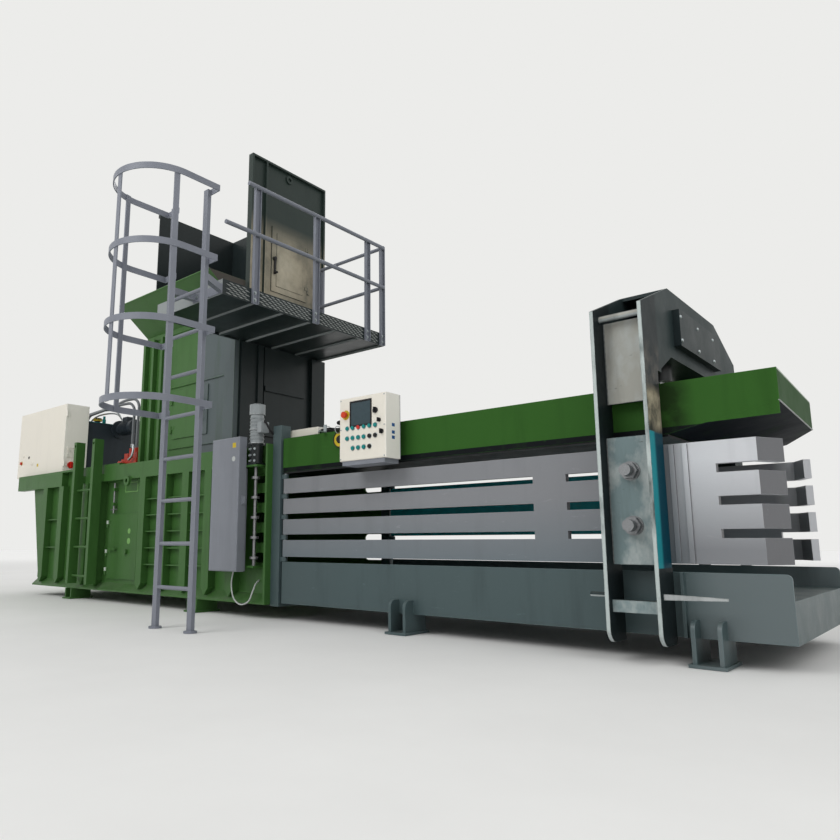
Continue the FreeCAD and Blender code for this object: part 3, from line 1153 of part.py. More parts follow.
def hydraulic_hoses():
    """Two pressure hoses from the valves, over the tank's edge and down to its lid."""
    hoses = []
    for i in (0, 1):
        x = valve_x(i)
        y = "-block_near + block_width / 2"
        side = f"{y} + {i} * hose_spread"
        end = f"-tank_start - hose_end - {i} * hose_end_pitch"
        rise = f"{DECK} + tank_height + hose_arch + {i} * hose_lean"
        path = [(x, y, f"{DECK} + block_height"), (x, y, f"{DECK} + block_height + hose_rise"),
                (f"{x} + hose_radius", y, rise), (f"{x} - hose_rise", f"{y} - hose_lean", rise),
                (f"{x} - hose_reach", f"{side} - hose_lean", f"{rise} - hose_radius"),
                (end, side, f"{rise} - 2 * hose_radius"), (end, side, f"{DECK} + tank_height")]
        hoses.append(tube(f"hose_{i}", path, "hose_radius"))
    return fuse("hose_pair", hoses)


fixed_hinges, door_hinges = side_hinges("access", "-door_hinge_x", SIDE_FACE, "-door_left",
                                        ("door_bottom + door_hinge_low",
                                         "door_bottom + door_hinge_mid",
                                         "door_top - door_hinge_high"))
node("body_near_side", body_near_side(fixed_hinges + bolt_guides()))
node("body_far_side", body_far_side())
node("body_core", body_core())
node("access_door", access_door(door_hinges))
node("door_bolt", drop_bolt())
node("ram", ram())
node("ram_rod", ram_rod())
node("main_cylinder", main_cylinder())
node("body_ladder", body_ladder())
cabinet_fixed, cabinet_turning = cabinet_hinges()
node("electrical_cabinet", electrical_cabinet(cabinet_fixed))
node("cabinet_door", cabinet_door(cabinet_turning))
node("cabinet_stop", push_cap("cabinet_stop", STOP_X, SIDE_FACE, STOP_Z, "cabinet_button",
                              "stop_cap", "stop_stem"))
node("main_switch", main_switch())
node("hydraulic_tank", hydraulic_tank())
node("pump_motor", pump_motor())
node("valve_block", valve_block())
node("hydraulic_pipes", hydraulic_pipes())
node("hydraulic_hoses", hydraulic_hoses())


# ---- Feed chute -------------------------------------------------------------------------------

CHUTE_LENGTH = "chute_back - chute_front"
CHUTE_BASE = "roof_z - roof_thick"


def chute_near_wall(door_hinges):
    """The wall towards the ladder, with its stiffeners, corner column and door opening."""
    low = CHUTE_BASE
    left, right = "-chute_door_left + door_lap", "-chute_door_right - door_lap"
    bottom, top = "chute_door_bottom + door_lap", "chute_door_top - door_lap"
    plate = slab("chute_side", "XZ", [("-chute_back", low), ("-chute_front", low),
                                      ("-chute_front", "tower_top"), ("-chute_back", "tower_top")],
                 "-tower_half", "tower_skin",
                 windows=[[(left, bottom), (right, bottom), (right, top), (left, top)]])
    face = "-tower_half"
    parts = [plate]
    for i in range(3):
        parts.append(box(f"chute_rib_{i}", f"-chute_back + {i} * chute_rib_pitch",
                         f"{face} - chute_rib", "roof_z", "chute_rib_width", "chute_rib",
                         "tower_top - lip_flange - roof_z"))
    for i, z in enumerate(("chute_door_bottom - seam_low", "chute_door_top + seam_high")):
        parts.append(box(f"chute_seam_{i}", "-chute_back + 3 * chute_rib_pitch",
                         f"{face} - seam_depth", z,
                         f"{CHUTE_LENGTH} - 3 * chute_rib_pitch - column_width", "seam_depth",
                         "seam_width"))
    parts.append(box("chute_column", "-chute_front - column_width", f"{face} - column_depth",
                     "roof_z", "column_width", "column_depth", "tower_top - lip_flange - roof_z"))
    return fuse("chute_side_weld", parts + door_hinges)


def chute_door(turning):
    face = "-tower_half - door_play - door_thick"
    plate = box("chute_leaf", "-chute_door_left", face, "chute_door_bottom",
                "chute_door_left - chute_door_right", "door_thick",
                "chute_door_top - chute_door_bottom")
    x, y, low = "-chute_door_right - grip_edge", f"{face} - grip_stand", "chute_door_bottom + grip_low"
    grip = rod("chute_grip", "z", x, y, low, "grip_radius", "grip_length")
    posts = [rod(f"chute_grip_post_{i}", "y", x, y, z, "grip_post", "grip_stand")
             for i, z in enumerate((f"{low} + grip_post_inset",
                                    f"{low} + grip_length - grip_post_inset"))]
    return fuse("chute_leaf_weld", [plate, grip] + posts + turning)


def chute_rear_walls():
    height = f"tower_top - ({CHUTE_BASE})"
    back = box("chute_rear", "-chute_back", "-tower_half + tower_skin", CHUTE_BASE, "tower_skin",
               "2 * (tower_half - tower_skin)", height)
    far = box("chute_far", "-chute_back", "tower_half - tower_skin", CHUTE_BASE, CHUTE_LENGTH,
              "tower_skin", height)
    ribs = [box(f"chute_rear_rib_{i}", "-chute_back - chute_rib", f"{y} - chute_rib / 2",
                DECK, "chute_rib", "chute_rib_width", f"tower_top - ({DECK})")
            for i, y in enumerate(("-rear_rib_y", "0", "rear_rib_y"))]
    ribs += [box(f"chute_far_rib_{i}", f"-chute_back + far_rib_first + {i} * far_rib_pitch",
                 "tower_half", "roof_z", "chute_rib_width", "chute_rib", "tower_top - roof_z")
             for i in range(int(size("far_rib_count")))]
    return fuse("chute_rear_weld", [back, far] + ribs)


# The upright panels of the front: where each starts, its width, and its share of a column's depth.
FRONT_STRIPS = ((-515, 185, 0.5), (-330, 60, 1), ("panel_start", "panel_width", 0.5),
                (365, 180, 1))


def chute_front_wall():
    """The wall towards the channel: raised panels below the platform."""
    plate = box("chute_front_plate", "-chute_front - tower_skin", "-tower_half + tower_skin",
                CHUTE_BASE, "tower_skin", "2 * (tower_half - tower_skin)",
                f"tower_top - ({CHUTE_BASE})")
    raised = [box(f"chute_strip_{i}", "-chute_front", y, "roof_z", f"column_depth * {share}",
                  width, "deck_bottom - roof_z")
              for i, (y, width, share) in enumerate(FRONT_STRIPS)]
    beams = [box(f"chute_band_{i}", "-chute_front", "panel_start", z, "column_depth",
                 "panel_width", "panel_band")
             for i, z in enumerate(("roof_z + panel_band_low", "roof_z + panel_band_high"))]
    return fuse("chute_front_weld", [plate] + raised + beams)


def loading_lip():
    """The sloped sheet over which material is pushed into the chute."""
    inner = "-tower_half"
    lip = [(inner, "tower_top - lip_flange"), (inner, "tower_top"),
           (f"{inner} - lip_flare", "tower_top + lip_rise"),
           (f"{inner} - lip_flare - lip_skin", "tower_top + lip_rise"),
           (f"{inner} - lip_skin", "tower_top"),
           (f"{inner} - lip_skin", "tower_top - lip_flange")]
    sheet_part = slab("lip_sheet", "YZ", lip, "-chute_back", CHUTE_LENGTH)
    cheek = [(f"{inner} - lip_skin", "tower_top"), (f"{inner} + cheek_back", "tower_top"),
             (f"{inner} + cheek_back", "tower_top + lip_rise"),
             (f"{inner} - lip_flare - lip_skin", "tower_top + lip_rise")]
    cheeks = [slab(f"lip_cheek_{i}", "YZ", cheek, x, "lip_skin")
              for i, x in enumerate(("-chute_back", "-chute_front - lip_skin"))]
    bead = rod("lip_bead", "x", "-chute_back", f"{inner} - lip_flare", "tower_top + lip_rise",
               "lip_skin", CHUTE_LENGTH)
    return fuse("lip_weld", [sheet_part, bead] + cheeks)


def chute_hood():
    """The dark back and far sheets above the chute, open towards the lip."""
    start = "-chute_back"
    near = "-tower_half + cheek_back"
    width = "2 * tower_half - cheek_back"
    brim = "hood_top - brim_height"
    back = box("hood_back", start, near, "tower_top", "hood_skin", width, "hood_top - tower_top")
    far = box("hood_far", start, "tower_half - hood_skin", "tower_top", CHUTE_LENGTH,
              "hood_skin", "hood_top - tower_top")
    brims = [box("hood_brim_back", f"{start} - brim_width", near, brim, "brim_width", width,
                 "brim_height"),
             box("hood_brim_far", start, "tower_half", brim, CHUTE_LENGTH, "brim_width",
                 "brim_height")]
    return fuse("hood_weld", [back, far] + brims)


HATCH_AXIS_X = "-chute_front + panel_skin + hatch_hinge + door_play"
HATCH_AXIS_Y = "hatch_far + hatch_hinge + door_play"


def hatch_hinges():
    fixed, turning = [], []
    face = "-chute_front + panel_skin"
    levels = ("hatch_bottom + hatch_hinge_edge", "hatch_top - hatch_hinge_edge - hinge_length")
    for i, z in enumerate(levels):
        fixed_leaf = (face, HATCH_AXIS_Y, "leaf_thick", "3 * hatch_hinge")
        moving_leaf = (f"{face} + door_play + hatch_thick", "hatch_far - leaf_lap",
                       "door_leaf_thick", "hatch_hinge + door_play + leaf_lap")
        pair = hinge(f"hatch_hinge_{i}", HATCH_AXIS_X, HATCH_AXIS_Y, z, "hatch_hinge", fixed_leaf,
                     moving_leaf)
        fixed.append(pair[0])
        turning.append(pair[1])
    return fixed, turning


def tall_panel(hinges):
    """The tall sheet behind the platform, with its opening, ribs and lifting ring."""
    near, far = "-panel_near", "panel_far"
    outline = [(near, "deck_bottom + deck_height"), (far, "deck_bottom + deck_height"),
               (far, "panel_top"), (near, "panel_top")]
    window = [("-hatch_near + door_lap", "hatch_bottom + door_lap"),
              ("hatch_far - door_lap", "hatch_bottom + door_lap"),
              ("hatch_far - door_lap", "hatch_top - door_lap"),
              ("-hatch_near + door_lap", "hatch_top - door_lap")]
    sheet_part = slab("tall_sheet", "YZ", outline, "-chute_front", "panel_skin", windows=[window])
    bottom = "deck_bottom + deck_height"
    face = "-chute_front + panel_skin"
    ribs = [box(f"tall_rib_{i}", face, y, bottom, "panel_rib", "panel_rib_width",
                f"panel_top - ({bottom})")
            for i, y in enumerate((near, "-panel_near + panel_rib_in", f"{far} - panel_rib_width"))]
    back_rib = box("tall_back_rib", "-chute_front - panel_rib_width", near,
                   "tower_top + panel_rib_low", "panel_rib_width", "panel_rib_width",
                   "panel_top - tower_top - panel_rib_low")
    bridge = box("tall_head", face, near, "panel_top - panel_rib_width", "panel_rib",
                 f"{far} - ({near})", "panel_rib_width")
    z = "panel_top - ring_drop"
    ring = cut("tall_ring", rod("ring_disc", "x", face, "ring_y", z, "ring_radius", "ring_thick"),
               [rod("ring_bore", "x", f"{face} - cut_over", "ring_y", z, "ring_hole",
                    "ring_thick + 2 * cut_over")])
    return fuse("tall_weld", [sheet_part, back_rib, bridge, ring] + ribs + hinges)


def service_hatch(turning):
    face = "-chute_front + panel_skin + door_play"
    plate = box("hatch_leaf", face, "-hatch_near", "hatch_bottom", "hatch_thick",
                "hatch_near + hatch_far", "hatch_top - hatch_bottom")
    frame = box("hatch_field", f"{face} + hatch_thick", "-hatch_near + field_inset",
                "hatch_bottom + field_inset", "field_thick",
                "hatch_near + hatch_far - 2 * field_inset",
                "hatch_top - hatch_bottom - 2 * field_inset")
    boss = rod("hatch_boss", "x", f"{face} + hatch_thick", LEVER_Y, LEVER_Z, "boss_radius",
               "boss_height")
    return fuse("hatch_weld", [plate, frame, boss] + turning)


LEVER_Y = "-hatch_near + lever_side"
LEVER_Z = "(hatch_bottom + hatch_top) / 2"


def hatch_lever():
    face = "-chute_front + panel_skin + 2 * door_play + hatch_thick + boss_height"
    hub = rod("lever_boss", "x", face, LEVER_Y, LEVER_Z, "lever_hub", "lever_hub_depth")
    arm = box("lever_arm", face, f"{LEVER_Y} - lever_half", f"{LEVER_Z} - lever_length",
              "lever_thick", "2 * lever_half", "lever_length")
    knob = rod("lever_end", "x", face, LEVER_Y, f"{LEVER_Z} - lever_length + lever_half",
               "lever_knob", "lever_knob_length")
    return fuse("lever_solid", [hub, arm, knob])


# ---- Platform and guard rail ------------------------------------------------------------------

DECK_END = "-chute_front + deck_reach"
DECK_PLATE_Z = "deck_bottom + deck_bearer_height"
DECK_TOP = f"{DECK_PLATE_Z} + deck_plate"


def platform():
    """A deck with upstand edges, on flat bearers fixed to the chute."""
    start = "-chute_front"
    width = "deck_near + deck_far"
    plate = box("deck_sheet", start, "-deck_near", DECK_PLATE_Z, "deck_reach", width, "deck_plate")
    edges = [box("deck_edge_out", f"{DECK_END} - toe_thick", "-deck_near", "deck_bottom",
                 "toe_thick", width, "deck_height"),
             box("deck_edge_near", start, "-deck_near", "deck_bottom", "deck_reach", "toe_thick",
                 "deck_height"),
             box("deck_edge_far", start, "deck_far - toe_thick", "deck_bottom", "deck_reach",
                 "toe_thick", "deck_height"),
             box("deck_edge_in", start, "-deck_near", "deck_bottom", "toe_thick",
                 "deck_near - tower_half", "deck_height")]
    bearers = [box(f"deck_bearer_{i}", start, f"-deck_near + {i} * deck_pitch", "deck_bottom",
                   "deck_reach", "deck_bearer", "deck_bearer_height") for i in range(1, 6)]
    return fuse("deck_weld", [plate] + edges + bearers)


RAIL_X = f"{DECK_END} + rail_out"
RAIL_FAR = "deck_far - toe_thick - upright_depth"
RAIL_BACK = "-chute_front + upright_back"


def rail_upright(name, corners, low):
    """A channel bar that stands up to the top rail."""
    return slab(name, "XY", corners, low, f"top_rail_z - ({low})")


def front_upright(name, y):
    """An upright bolted on the outside of the deck's front edge, its flanges outwards."""
    back, web, front = DECK_END, f"{DECK_END} + upright_skin", f"{DECK_END} + upright_depth"
    near, far = f"({y}) - upright_width / 2", f"({y}) + upright_width / 2"
    return rail_upright(name, [(back, near), (front, near), (front, f"{near} + upright_skin"),
                               (web, f"{near} + upright_skin"), (web, f"{far} - upright_skin"),
                               (front, f"{far} - upright_skin"), (front, far), (back, far)],
                        "deck_bottom")


def guard_rail():
    """Channel uprights with a top rail and a middle rail that turn the far corner."""
    uprights = [front_upright(f"upright_{i}", y) for i, y in
                enumerate(("-upright_near", "-upright_mid", "upright_gap", "upright_corner"))]
    face = "deck_far - toe_thick"
    near, web = f"{face} - upright_depth", f"{face} - upright_skin"
    left, right = f"{RAIL_BACK} - upright_width / 2", f"{RAIL_BACK} + upright_width / 2"
    uprights.append(rail_upright("upright_at_chute", [
        (left, face), (left, near), (f"{left} + upright_skin", near),
        (f"{left} + upright_skin", web), (f"{right} - upright_skin", web),
        (f"{right} - upright_skin", near), (right, near), (right, face)], DECK_TOP))
    runs = []
    for i, (z, start) in enumerate((("top_rail_z", "rail_top_near"),
                                    ("mid_rail_z", "rail_mid_near"))):
        runs.append(rod(f"rail_long_{i}", "y", RAIL_X, f"-{start}", z, "rail_radius",
                        f"{start} + {RAIL_FAR}"))
        runs.append(rod(f"rail_short_{i}", "x", RAIL_BACK, RAIL_FAR, z, "rail_radius",
                        f"{RAIL_X} - ({RAIL_BACK})"))
        runs.append(ball(f"rail_corner_{i}", RAIL_X, RAIL_FAR, z, "rail_elbow"))
    return fuse("rail_weld", uprights + runs)


# ---- Caged ladder -----------------------------------------------------------------------------

def access_ladder():
    """The upright ladder. Its arms run to the deck, the right one slanting to the deck's corner."""
    sides = []
    for i, landing in ((-1, "ladder_x - ladder_half"), (1, f"{DECK_END} - stile_w / 2")):
        x = f"ladder_x + {i} * ladder_half"
        back = "-ladder_y + stile_d / 2"
        sides.append(rod(f"ladder_disc_{i}", "z", x, "-ladder_y", 0, "disc_radius", "disc_thick"))
        sides.append(box(f"ladder_stile_{i}", f"{x} - stile_w / 2", "-ladder_y - stile_d / 2",
                         "disc_thick", "stile_w", "stile_d", "ladder_top - disc_thick"))
        sides.append(slab(f"ladder_arm_{i}", "XY", [
            (f"{x} - stile_w / 2", back), (f"{x} + stile_w / 2", back),
            (f"{landing} + stile_w / 2", "-deck_near"), (f"{landing} - stile_w / 2", "-deck_near")],
            "deck_bottom + arm_rise", "arm_height"))
    rungs = [rod(f"ladder_rung_{i}", "x", "ladder_x - ladder_half", "-ladder_y",
                 f"rung_first + {i} * rung_rise", "rung_radius", "2 * ladder_half")
             for i in range(int(size("rung_count")))]
    start = "ladder_x - ladder_half - stile_w / 2"
    tie = box("ladder_tie", start, "-deck_near - toe_thick", "deck_bottom + tie_rise",
              f"{DECK_END} - ({start})", "toe_thick", "tie_height")
    return fuse("ladder_weld", sides + rungs + [tie])


CAGE_CENTRE = "-cage_front + cage_half"
# Degrees around the hoops' middle at which the upright bars stand.
STRAP_ANGLES = (195, 270, 348)


def cage_hoop(index):
    """A flat hoop: half a ring, two straight sides and two ends turned in to the stiles."""
    name = f"hoop_{index}"
    z = f"hoop_low + {index} * hoop_pitch - hoop_height / 2"
    inner = "cage_half - hoop_thick"
    ring = rod(name + "_ring", "z", "ladder_x", CAGE_CENTRE, z, "cage_half", "hoop_height")
    tools = [rod(name + "_hole", "z", "ladder_x", CAGE_CENTRE, f"{z} - cut_over", inner,
                 "hoop_height + 2 * cut_over"),
             box(name + "_half", "ladder_x - cage_half - cut_over", CAGE_CENTRE,
                 f"{z} - cut_over", "2 * (cage_half + cut_over)", "cage_half + cut_over",
                 "hoop_height + 2 * cut_over")]
    parts = [cut(name + "_arc", ring, tools)]
    end = "-ladder_y + stile_d / 2 + hoop_thick"
    for i, x in enumerate(("ladder_x - cage_half", "ladder_x + cage_half - hoop_thick")):
        parts.append(box(f"{name}_side_{i}", x, CAGE_CENTRE, z, "hoop_thick",
                         f"{end} - ({CAGE_CENTRE})", "hoop_height"))
    for i, x in enumerate(("ladder_x - cage_half", "ladder_x + ladder_half - stile_w / 2")):
        parts.append(box(f"{name}_end_{i}", x, f"{end} - hoop_thick", z,
                         "cage_half - ladder_half + stile_w / 2", "hoop_thick", "hoop_height"))
    return fuse(name, parts)


def cage_strap(name, angle):
    """An upright flat bar on the inside of the hoops, at an angle from the hoops' middle."""
    low = "hoop_low - hoop_height / 2"
    height = f"(hoop_count - 1) * hoop_pitch + hoop_height"
    corners = []
    for radius, half in (("cage_half - hoop_thick + strap_lap", "-cage_bar / 2"),
                         ("cage_half - hoop_thick + strap_lap", "cage_bar / 2"),
                         ("cage_half - 2 * hoop_thick", "cage_bar / 2"),
                         ("cage_half - 2 * hoop_thick", "-cage_bar / 2")):
        reach = f"({radius})"
        corners.append((f"ladder_x + {reach} * cos({angle}deg) - ({half}) * sin({angle}deg)",
                        f"{CAGE_CENTRE} + {reach} * sin({angle}deg) + ({half}) * cos({angle}deg)"))
    return slab(name, "XY", corners, low, height)


def ladder_cage():
    hoops = [cage_hoop(i) for i in range(int(size("hoop_count")))]
    straps = [cage_strap(f"cage_strap_{i}", angle) for i, angle in enumerate(STRAP_ANGLES)]
    return fuse("cage_weld", hoops + straps)


# ---- Tying unit -------------------------------------------------------------------------------

POST_FACE = "-channel_half - post_depth"
COVER_AXIS_X = "-tying_x - hinge_radius - cover_play"
COVER_AXIS_Y = "-tying_front + tying_box - cover_play"


def tying_housing(hinges):
    """The wire guide housing on the body's posts: an open box with a plate at each wire line."""
    start = "-knot_start"
    front = "-tying_front + tying_box"
    depth = f"{POST_FACE} - ({front})"
    case = box("knot_case", start, front, "tying_bottom", "knot_width", depth,
               "knot_top - tying_bottom")
    inside = box("knot_inside", f"{start} + body_skin", f"{front} - cut_over",
                 "tying_bottom + body_skin", "knot_width - 2 * body_skin",
                 f"{depth} + cut_over - body_skin", "knot_top - tying_bottom - 2 * body_skin")
    shelves = [box(f"knot_shelf_{i + 1}", start, front, f"{slot_centre(i)} - rib_thick / 2",
                   "knot_width", depth, "rib_thick") for i in WIRE_LINES]
    return fuse("knot_weld", [cut("knot_open", case, [inside])] + shelves + hinges)


def cover_hinges():
    fixed, turning = [], []
    reach = "tying_x + hinge_radius + cover_play - knot_start"
    for i, z in enumerate(("tying_bottom + cover_hinge_low", "knot_top - cover_hinge_high")):
        fixed_leaf = (COVER_AXIS_X, f"{COVER_AXIS_Y} + cover_strip_lift", reach, "leaf_thick")
        moving_leaf = (COVER_AXIS_X, f"{COVER_AXIS_Y} - cover_strip_drop",
                       "hinge_radius + cover_play", "leaf_thick")
        pair = hinge(f"cover_hinge_{i}", COVER_AXIS_X, COVER_AXIS_Y, z, "hinge_radius", fixed_leaf,
                     moving_leaf)
        fixed.append(pair[0])
        turning.append(pair[1])
    return fixed, turning


def tying_cover(turning):
    """The tall guard over the tying unit, open at the back, with a latch on its right side."""
    back = "-tying_front + tying_box - cover_play"
    shell = box("cover_shell", "-tying_x", "-tying_front", "tying_bottom", "tying_width",
                "tying_box - cover_play", "tying_height")
    shell = round_edges("cover_rounded", shell, "cover_round",
                        lambda way, middle: middle.y < size("-tying_front") + 1)
    inside = box("cover_inside", "-tying_x + cover_skin", "-tying_front + cover_skin",
                 "tying_bottom + cover_skin", "tying_width - 2 * cover_skin",
                 "tying_box + cut_over - cover_skin", "tying_height - 2 * cover_skin")
    right = "-tying_x + tying_width"
    low = "tying_bottom + latch_rise"
    latch = box("cover_latch", right, f"{back} - latch_back - latch_width", low, "latch_proud",
                "latch_width", "latch_height")
    handle = rod("cover_handle", "z", f"{right} + latch_proud",
                 f"{back} - latch_back - latch_width / 2", f"{low} + latch_proud",
                 "latch_handle", "latch_handle_height")
    return fuse("cover_weld", [cut("cover_open", shell, [inside]), latch, handle] + turning)


def twister_shaft():
    start = "tying_bottom + step_lift + body_skin + door_play"
    shaft = rod("twister_core", "z", "-gear_x", "-gear_y", start, "shaft_radius",
                f"gear_z - cover_play - ({start})")
    hooks = []
    for i in WIRE_LINES:
        z = f"{slot_centre(i)} - hook_height / 2"
        disc = rod(f"hook_disc_{i + 1}", "z", "-gear_x", "-gear_y", z, "hook_radius", "hook_height")
        notch = box(f"hook_gap_{i + 1}", "-gear_x + hook_notch_out", "-gear_y - hook_notch / 2",
                    f"{z} - cut_over", "hook_radius", "hook_notch", "hook_height + 2 * cut_over")
        hooks.append(cut(f"hook_{i + 1}", disc, [notch]))
    return fuse("twister_solid", [shaft] + hooks)


def tying_motor():
    """The gear motor that turns the twister shaft, on the shelf above it."""
    x, y = "-gear_x", "-gear_y"
    base = box("gear_foot", f"{x} - gear_radius", f"{y} - gear_radius", "gear_z",
               "2 * gear_radius", "2 * gear_radius", "gear_base")
    gearbox = rod("gear_house", "z", x, y, "gear_z + gear_base", "gear_radius", "gear_case")
    top = "gear_z + gear_base + gear_case"
    ring = rod("gear_collar", "z", x, y, top, "gear_radius + gear_ring_rim", "gear_ring")
    case = rod("gear_motor_case", "z", x, y, f"{top} + gear_ring", "gear_radius", "gear_motor")
    fins = [rod(f"gear_fin_{i}", "z", x, y, f"gear_z + gear_fin_first + {i} * gear_fin_pitch",
                "gear_radius + gear_fin_rim", "gear_fin")
            for i in range(int(size("gear_fin_count")))]
    cowl = rod("gear_fan_cowl", "z", x, y, "gear_z + gear_height - gear_cowl",
               "gear_radius + gear_ring_rim", "gear_cowl")
    terminal = box("gear_terminal", f"{x} + gear_radius - gear_box_lap", f"{y} - gear_box_half",
                   "gear_z + gear_box_rise", "gear_box_depth", "2 * gear_box_half",
                   "gear_box_height")
    return fuse("gear_weld", [base, gearbox, ring, case, cowl, terminal] + fins)


def cable_box():
    """The white junction box over the joint of the body and the channel."""
    low, step, top = "flange_head", "flange_head + box_step", "flange_head + box_height"
    outline = [("box_left", low), ("-box_gap", low), ("-box_gap", step), ("box_right", step),
               ("box_right", top), ("box_left", top)]
    return slab("cable_case", "XZ", outline, "-box_near", "box_width")


# ---- Control panel on the top beam ------------------------------------------------------------

DESK_FACE = "-desk_y"


def key_spot(column, row):
    """Where a push-button stands on the panel."""
    return (f"desk_x + key_left + key_margin + {column} * (key_pitch + key_gap)",
            f"desk_bottom + key_bottom + key_margin + {row} * key_row")


def push_key(name, column, row):
    """A round button whose body slides in a pocket of the panel."""
    x, z = key_spot(column, row)
    depth = "key_proud + key_pocket - key_travel - key_gap"
    return rod(name, "y", x, f"{DESK_FACE} - key_proud", z, "key_radius", depth)


LOOSE_KEYS = {"push_button_start": (0, 2), "push_button_stop": (2, 2), "push_button_ram": (3, 2),
              "push_button_tie": (1, 0)}
FIXED_KEYS = [(1, 2), (4, 2), (5, 2)] + [(i, 1) for i in range(6)] + [(2, 0), (3, 0), (4, 0)]
STOP_SPOT = ("desk_x + stop_x", "desk_bottom + stop_z")
KNOBS = {"mode_knob": ("desk_x + mode_x", "desk_bottom + mode_z", "mode_radius"),
         "key_switch": ("desk_x + lock_x", "desk_bottom + lock_z", "lock_knob"),
         "selector": ("desk_x + select_x", "desk_bottom + select_z", "select_radius")}


def control_box():
    """The panel's case, open towards its back plate, with the buttons that have no own joint."""
    case = box("desk_case", "desk_x", DESK_FACE, "desk_bottom", "desk_width", "desk_depth",
               "desk_height")
    case = round_edges("desk_round", case, "desk_skin / 2",
                       lambda way, middle: middle.y < size(DESK_FACE) + 1)
    inside = box("desk_inside", "desk_x + desk_skin", f"{DESK_FACE} + desk_skin",
                 "desk_bottom + desk_skin", "desk_width - 2 * desk_skin", "desk_depth",
                 "desk_height - 2 * desk_skin")
    pockets = []
    for name, (column, row) in LOOSE_KEYS.items():
        x, z = key_spot(column, row)
        pockets.append(rod(f"{name}_pocket", "y", x, f"{DESK_FACE} - cut_over", z,
                           "key_radius + pin_play", "key_pocket + cut_over"))
    holes = [(STOP_SPOT[0], STOP_SPOT[1], "stop_hole")]
    holes += [(x, z, "knob_hole") for x, z, radius in KNOBS.values()]
    for i, (x, z, radius) in enumerate(holes):
        pockets.append(rod(f"desk_hole_{i}", "y", x, f"{DESK_FACE} - cut_over", z,
                           f"{radius} + pin_play", "desk_skin + 2 * cut_over"))
    panel = box("screen_pocket", "desk_x + screen_left", f"{DESK_FACE} - cut_over",
                "desk_bottom + screen_low", "screen_width", "screen_depth + cut_over",
                "screen_height")
    keys = [rod(f"fixed_key_{i}", "y", key_spot(*spot)[0], f"{DESK_FACE} - key_proud",
                key_spot(*spot)[1], "key_radius", "key_proud") for i, spot in
            enumerate(FIXED_KEYS)]
    return fuse("desk_weld", [cut("desk_open", case, [inside, panel] + pockets)] + keys)


def touch_screen():
    return box("screen_glass", "desk_x + screen_left", f"{DESK_FACE} - screen_proud",
               "desk_bottom + screen_low", "screen_width", "screen_depth + screen_proud",
               "screen_height")


def panel_bracket():
    """The back plate of the control box, its shelf and the arm that carries them on the beam."""
    back = f"{DESK_FACE} + desk_depth"
    plate = box("desk_plate", "desk_x", back, "desk_bottom", "desk_width", "desk_back",
                "desk_height")
    arm = box("desk_arm", "desk_x + arm_x", f"{back} + desk_back", "desk_bottom + desk_arm_rise",
              "arm_length", "desk_y - desk_depth - desk_back - channel_half", "desk_arm_height")
    shelf = box("desk_tray", "desk_x + desk_shelf_x", f"{DESK_FACE} + desk_shelf_y",
                "desk_bottom - desk_shelf", "desk_width - 2 * desk_shelf_x",
                "desk_depth - desk_shelf_gap", "desk_shelf")
    return fuse("bracket_weld", [plate, arm, shelf])


def stop_button():
    x, z = STOP_SPOT
    front = f"{DESK_FACE} - key_travel - pin_play"
    cap = rod("stop_head", "y", x, f"{front} - stop_collar - stop_cap_height", z, "stop_radius",
              "stop_cap_height")
    collar = rod("stop_neck", "y", x, f"{front} - stop_collar", z, "stop_collar_radius",
                 "stop_collar")
    shank = rod("stop_shank", "y", x, front, z, "stop_hole", "key_travel + pin_play + desk_skin")
    return fuse("stop_solid", [cap, collar, shank])


def turn_knob(name):
    x, z, radius = KNOBS[name]
    face = f"{DESK_FACE} - pin_play"
    disc = rod(name + "_disc", "y", x, f"{face} - knob_plate", z, radius, "knob_plate")
    grip = box(name + "_grip", f"{x} - knob_grip_half", f"{face} - knob_grip", f"{z} - {radius}",
               "2 * knob_grip_half", "knob_grip - knob_plate", f"2 * {radius}")
    shank = rod(name + "_shank", "y", x, face, z, "knob_hole", "pin_play + desk_skin")
    return fuse(name + "_solid", [disc, grip, shank])


def cables():
    """The cable run from the junction box along the beam to the control box."""
    level = "flange_head + cable_rise"
    front = "-desk_y + cable_drop"
    path = [("box_right + box_gap", "-cable_y", f"{level} + cable_lean"),
            ("desk_x - cable_turn", "-cable_y", level),
            ("desk_x - cable_turn + cable_corner", front, level), ("desk_x", front, level)]
    return tube("cable_run", path, "cable_radius", 0.35)


chute_fixed, chute_turning = side_hinges("chute", "-chute_door_left - door_hinge_out",
                                         "-tower_half", "-chute_door_left",
                                         ("chute_door_bottom + chute_hinge_low",
                                          "chute_door_top - door_hinge_high"))
hatch_fixed, hatch_turning = hatch_hinges()
cover_fixed, cover_turning = cover_hinges()
node("chute_near_wall", chute_near_wall(chute_fixed))
node("chute_door", chute_door(chute_turning))
node("chute_rear_walls", chute_rear_walls())
node("chute_front_wall", chute_front_wall())
node("loading_lip", loading_lip())
node("chute_hood", chute_hood())
node("tall_panel", tall_panel(hatch_fixed))
node("service_hatch", service_hatch(hatch_turning))
node("hatch_lever", hatch_lever())
node("platform", platform())
node("guard_rail", guard_rail())
node("access_ladder", access_ladder())
node("ladder_cage", ladder_cage())
node("tying_housing", tying_housing(cover_fixed))
node("tying_cover", tying_cover(cover_turning))
node("twister_shaft", twister_shaft())
node("tying_motor", tying_motor())
node("cable_box", cable_box())
node("control_box", control_box())
node("touch_screen", touch_screen())
node("panel_bracket", panel_bracket())
node("cables", cables())
node("estop_button", stop_button())
for knob_name in KNOBS:
    node(knob_name, turn_knob(knob_name))
for key_name, (key_column, key_row) in LOOSE_KEYS.items():
    node(key_name, push_key(key_name, key_column, key_row))

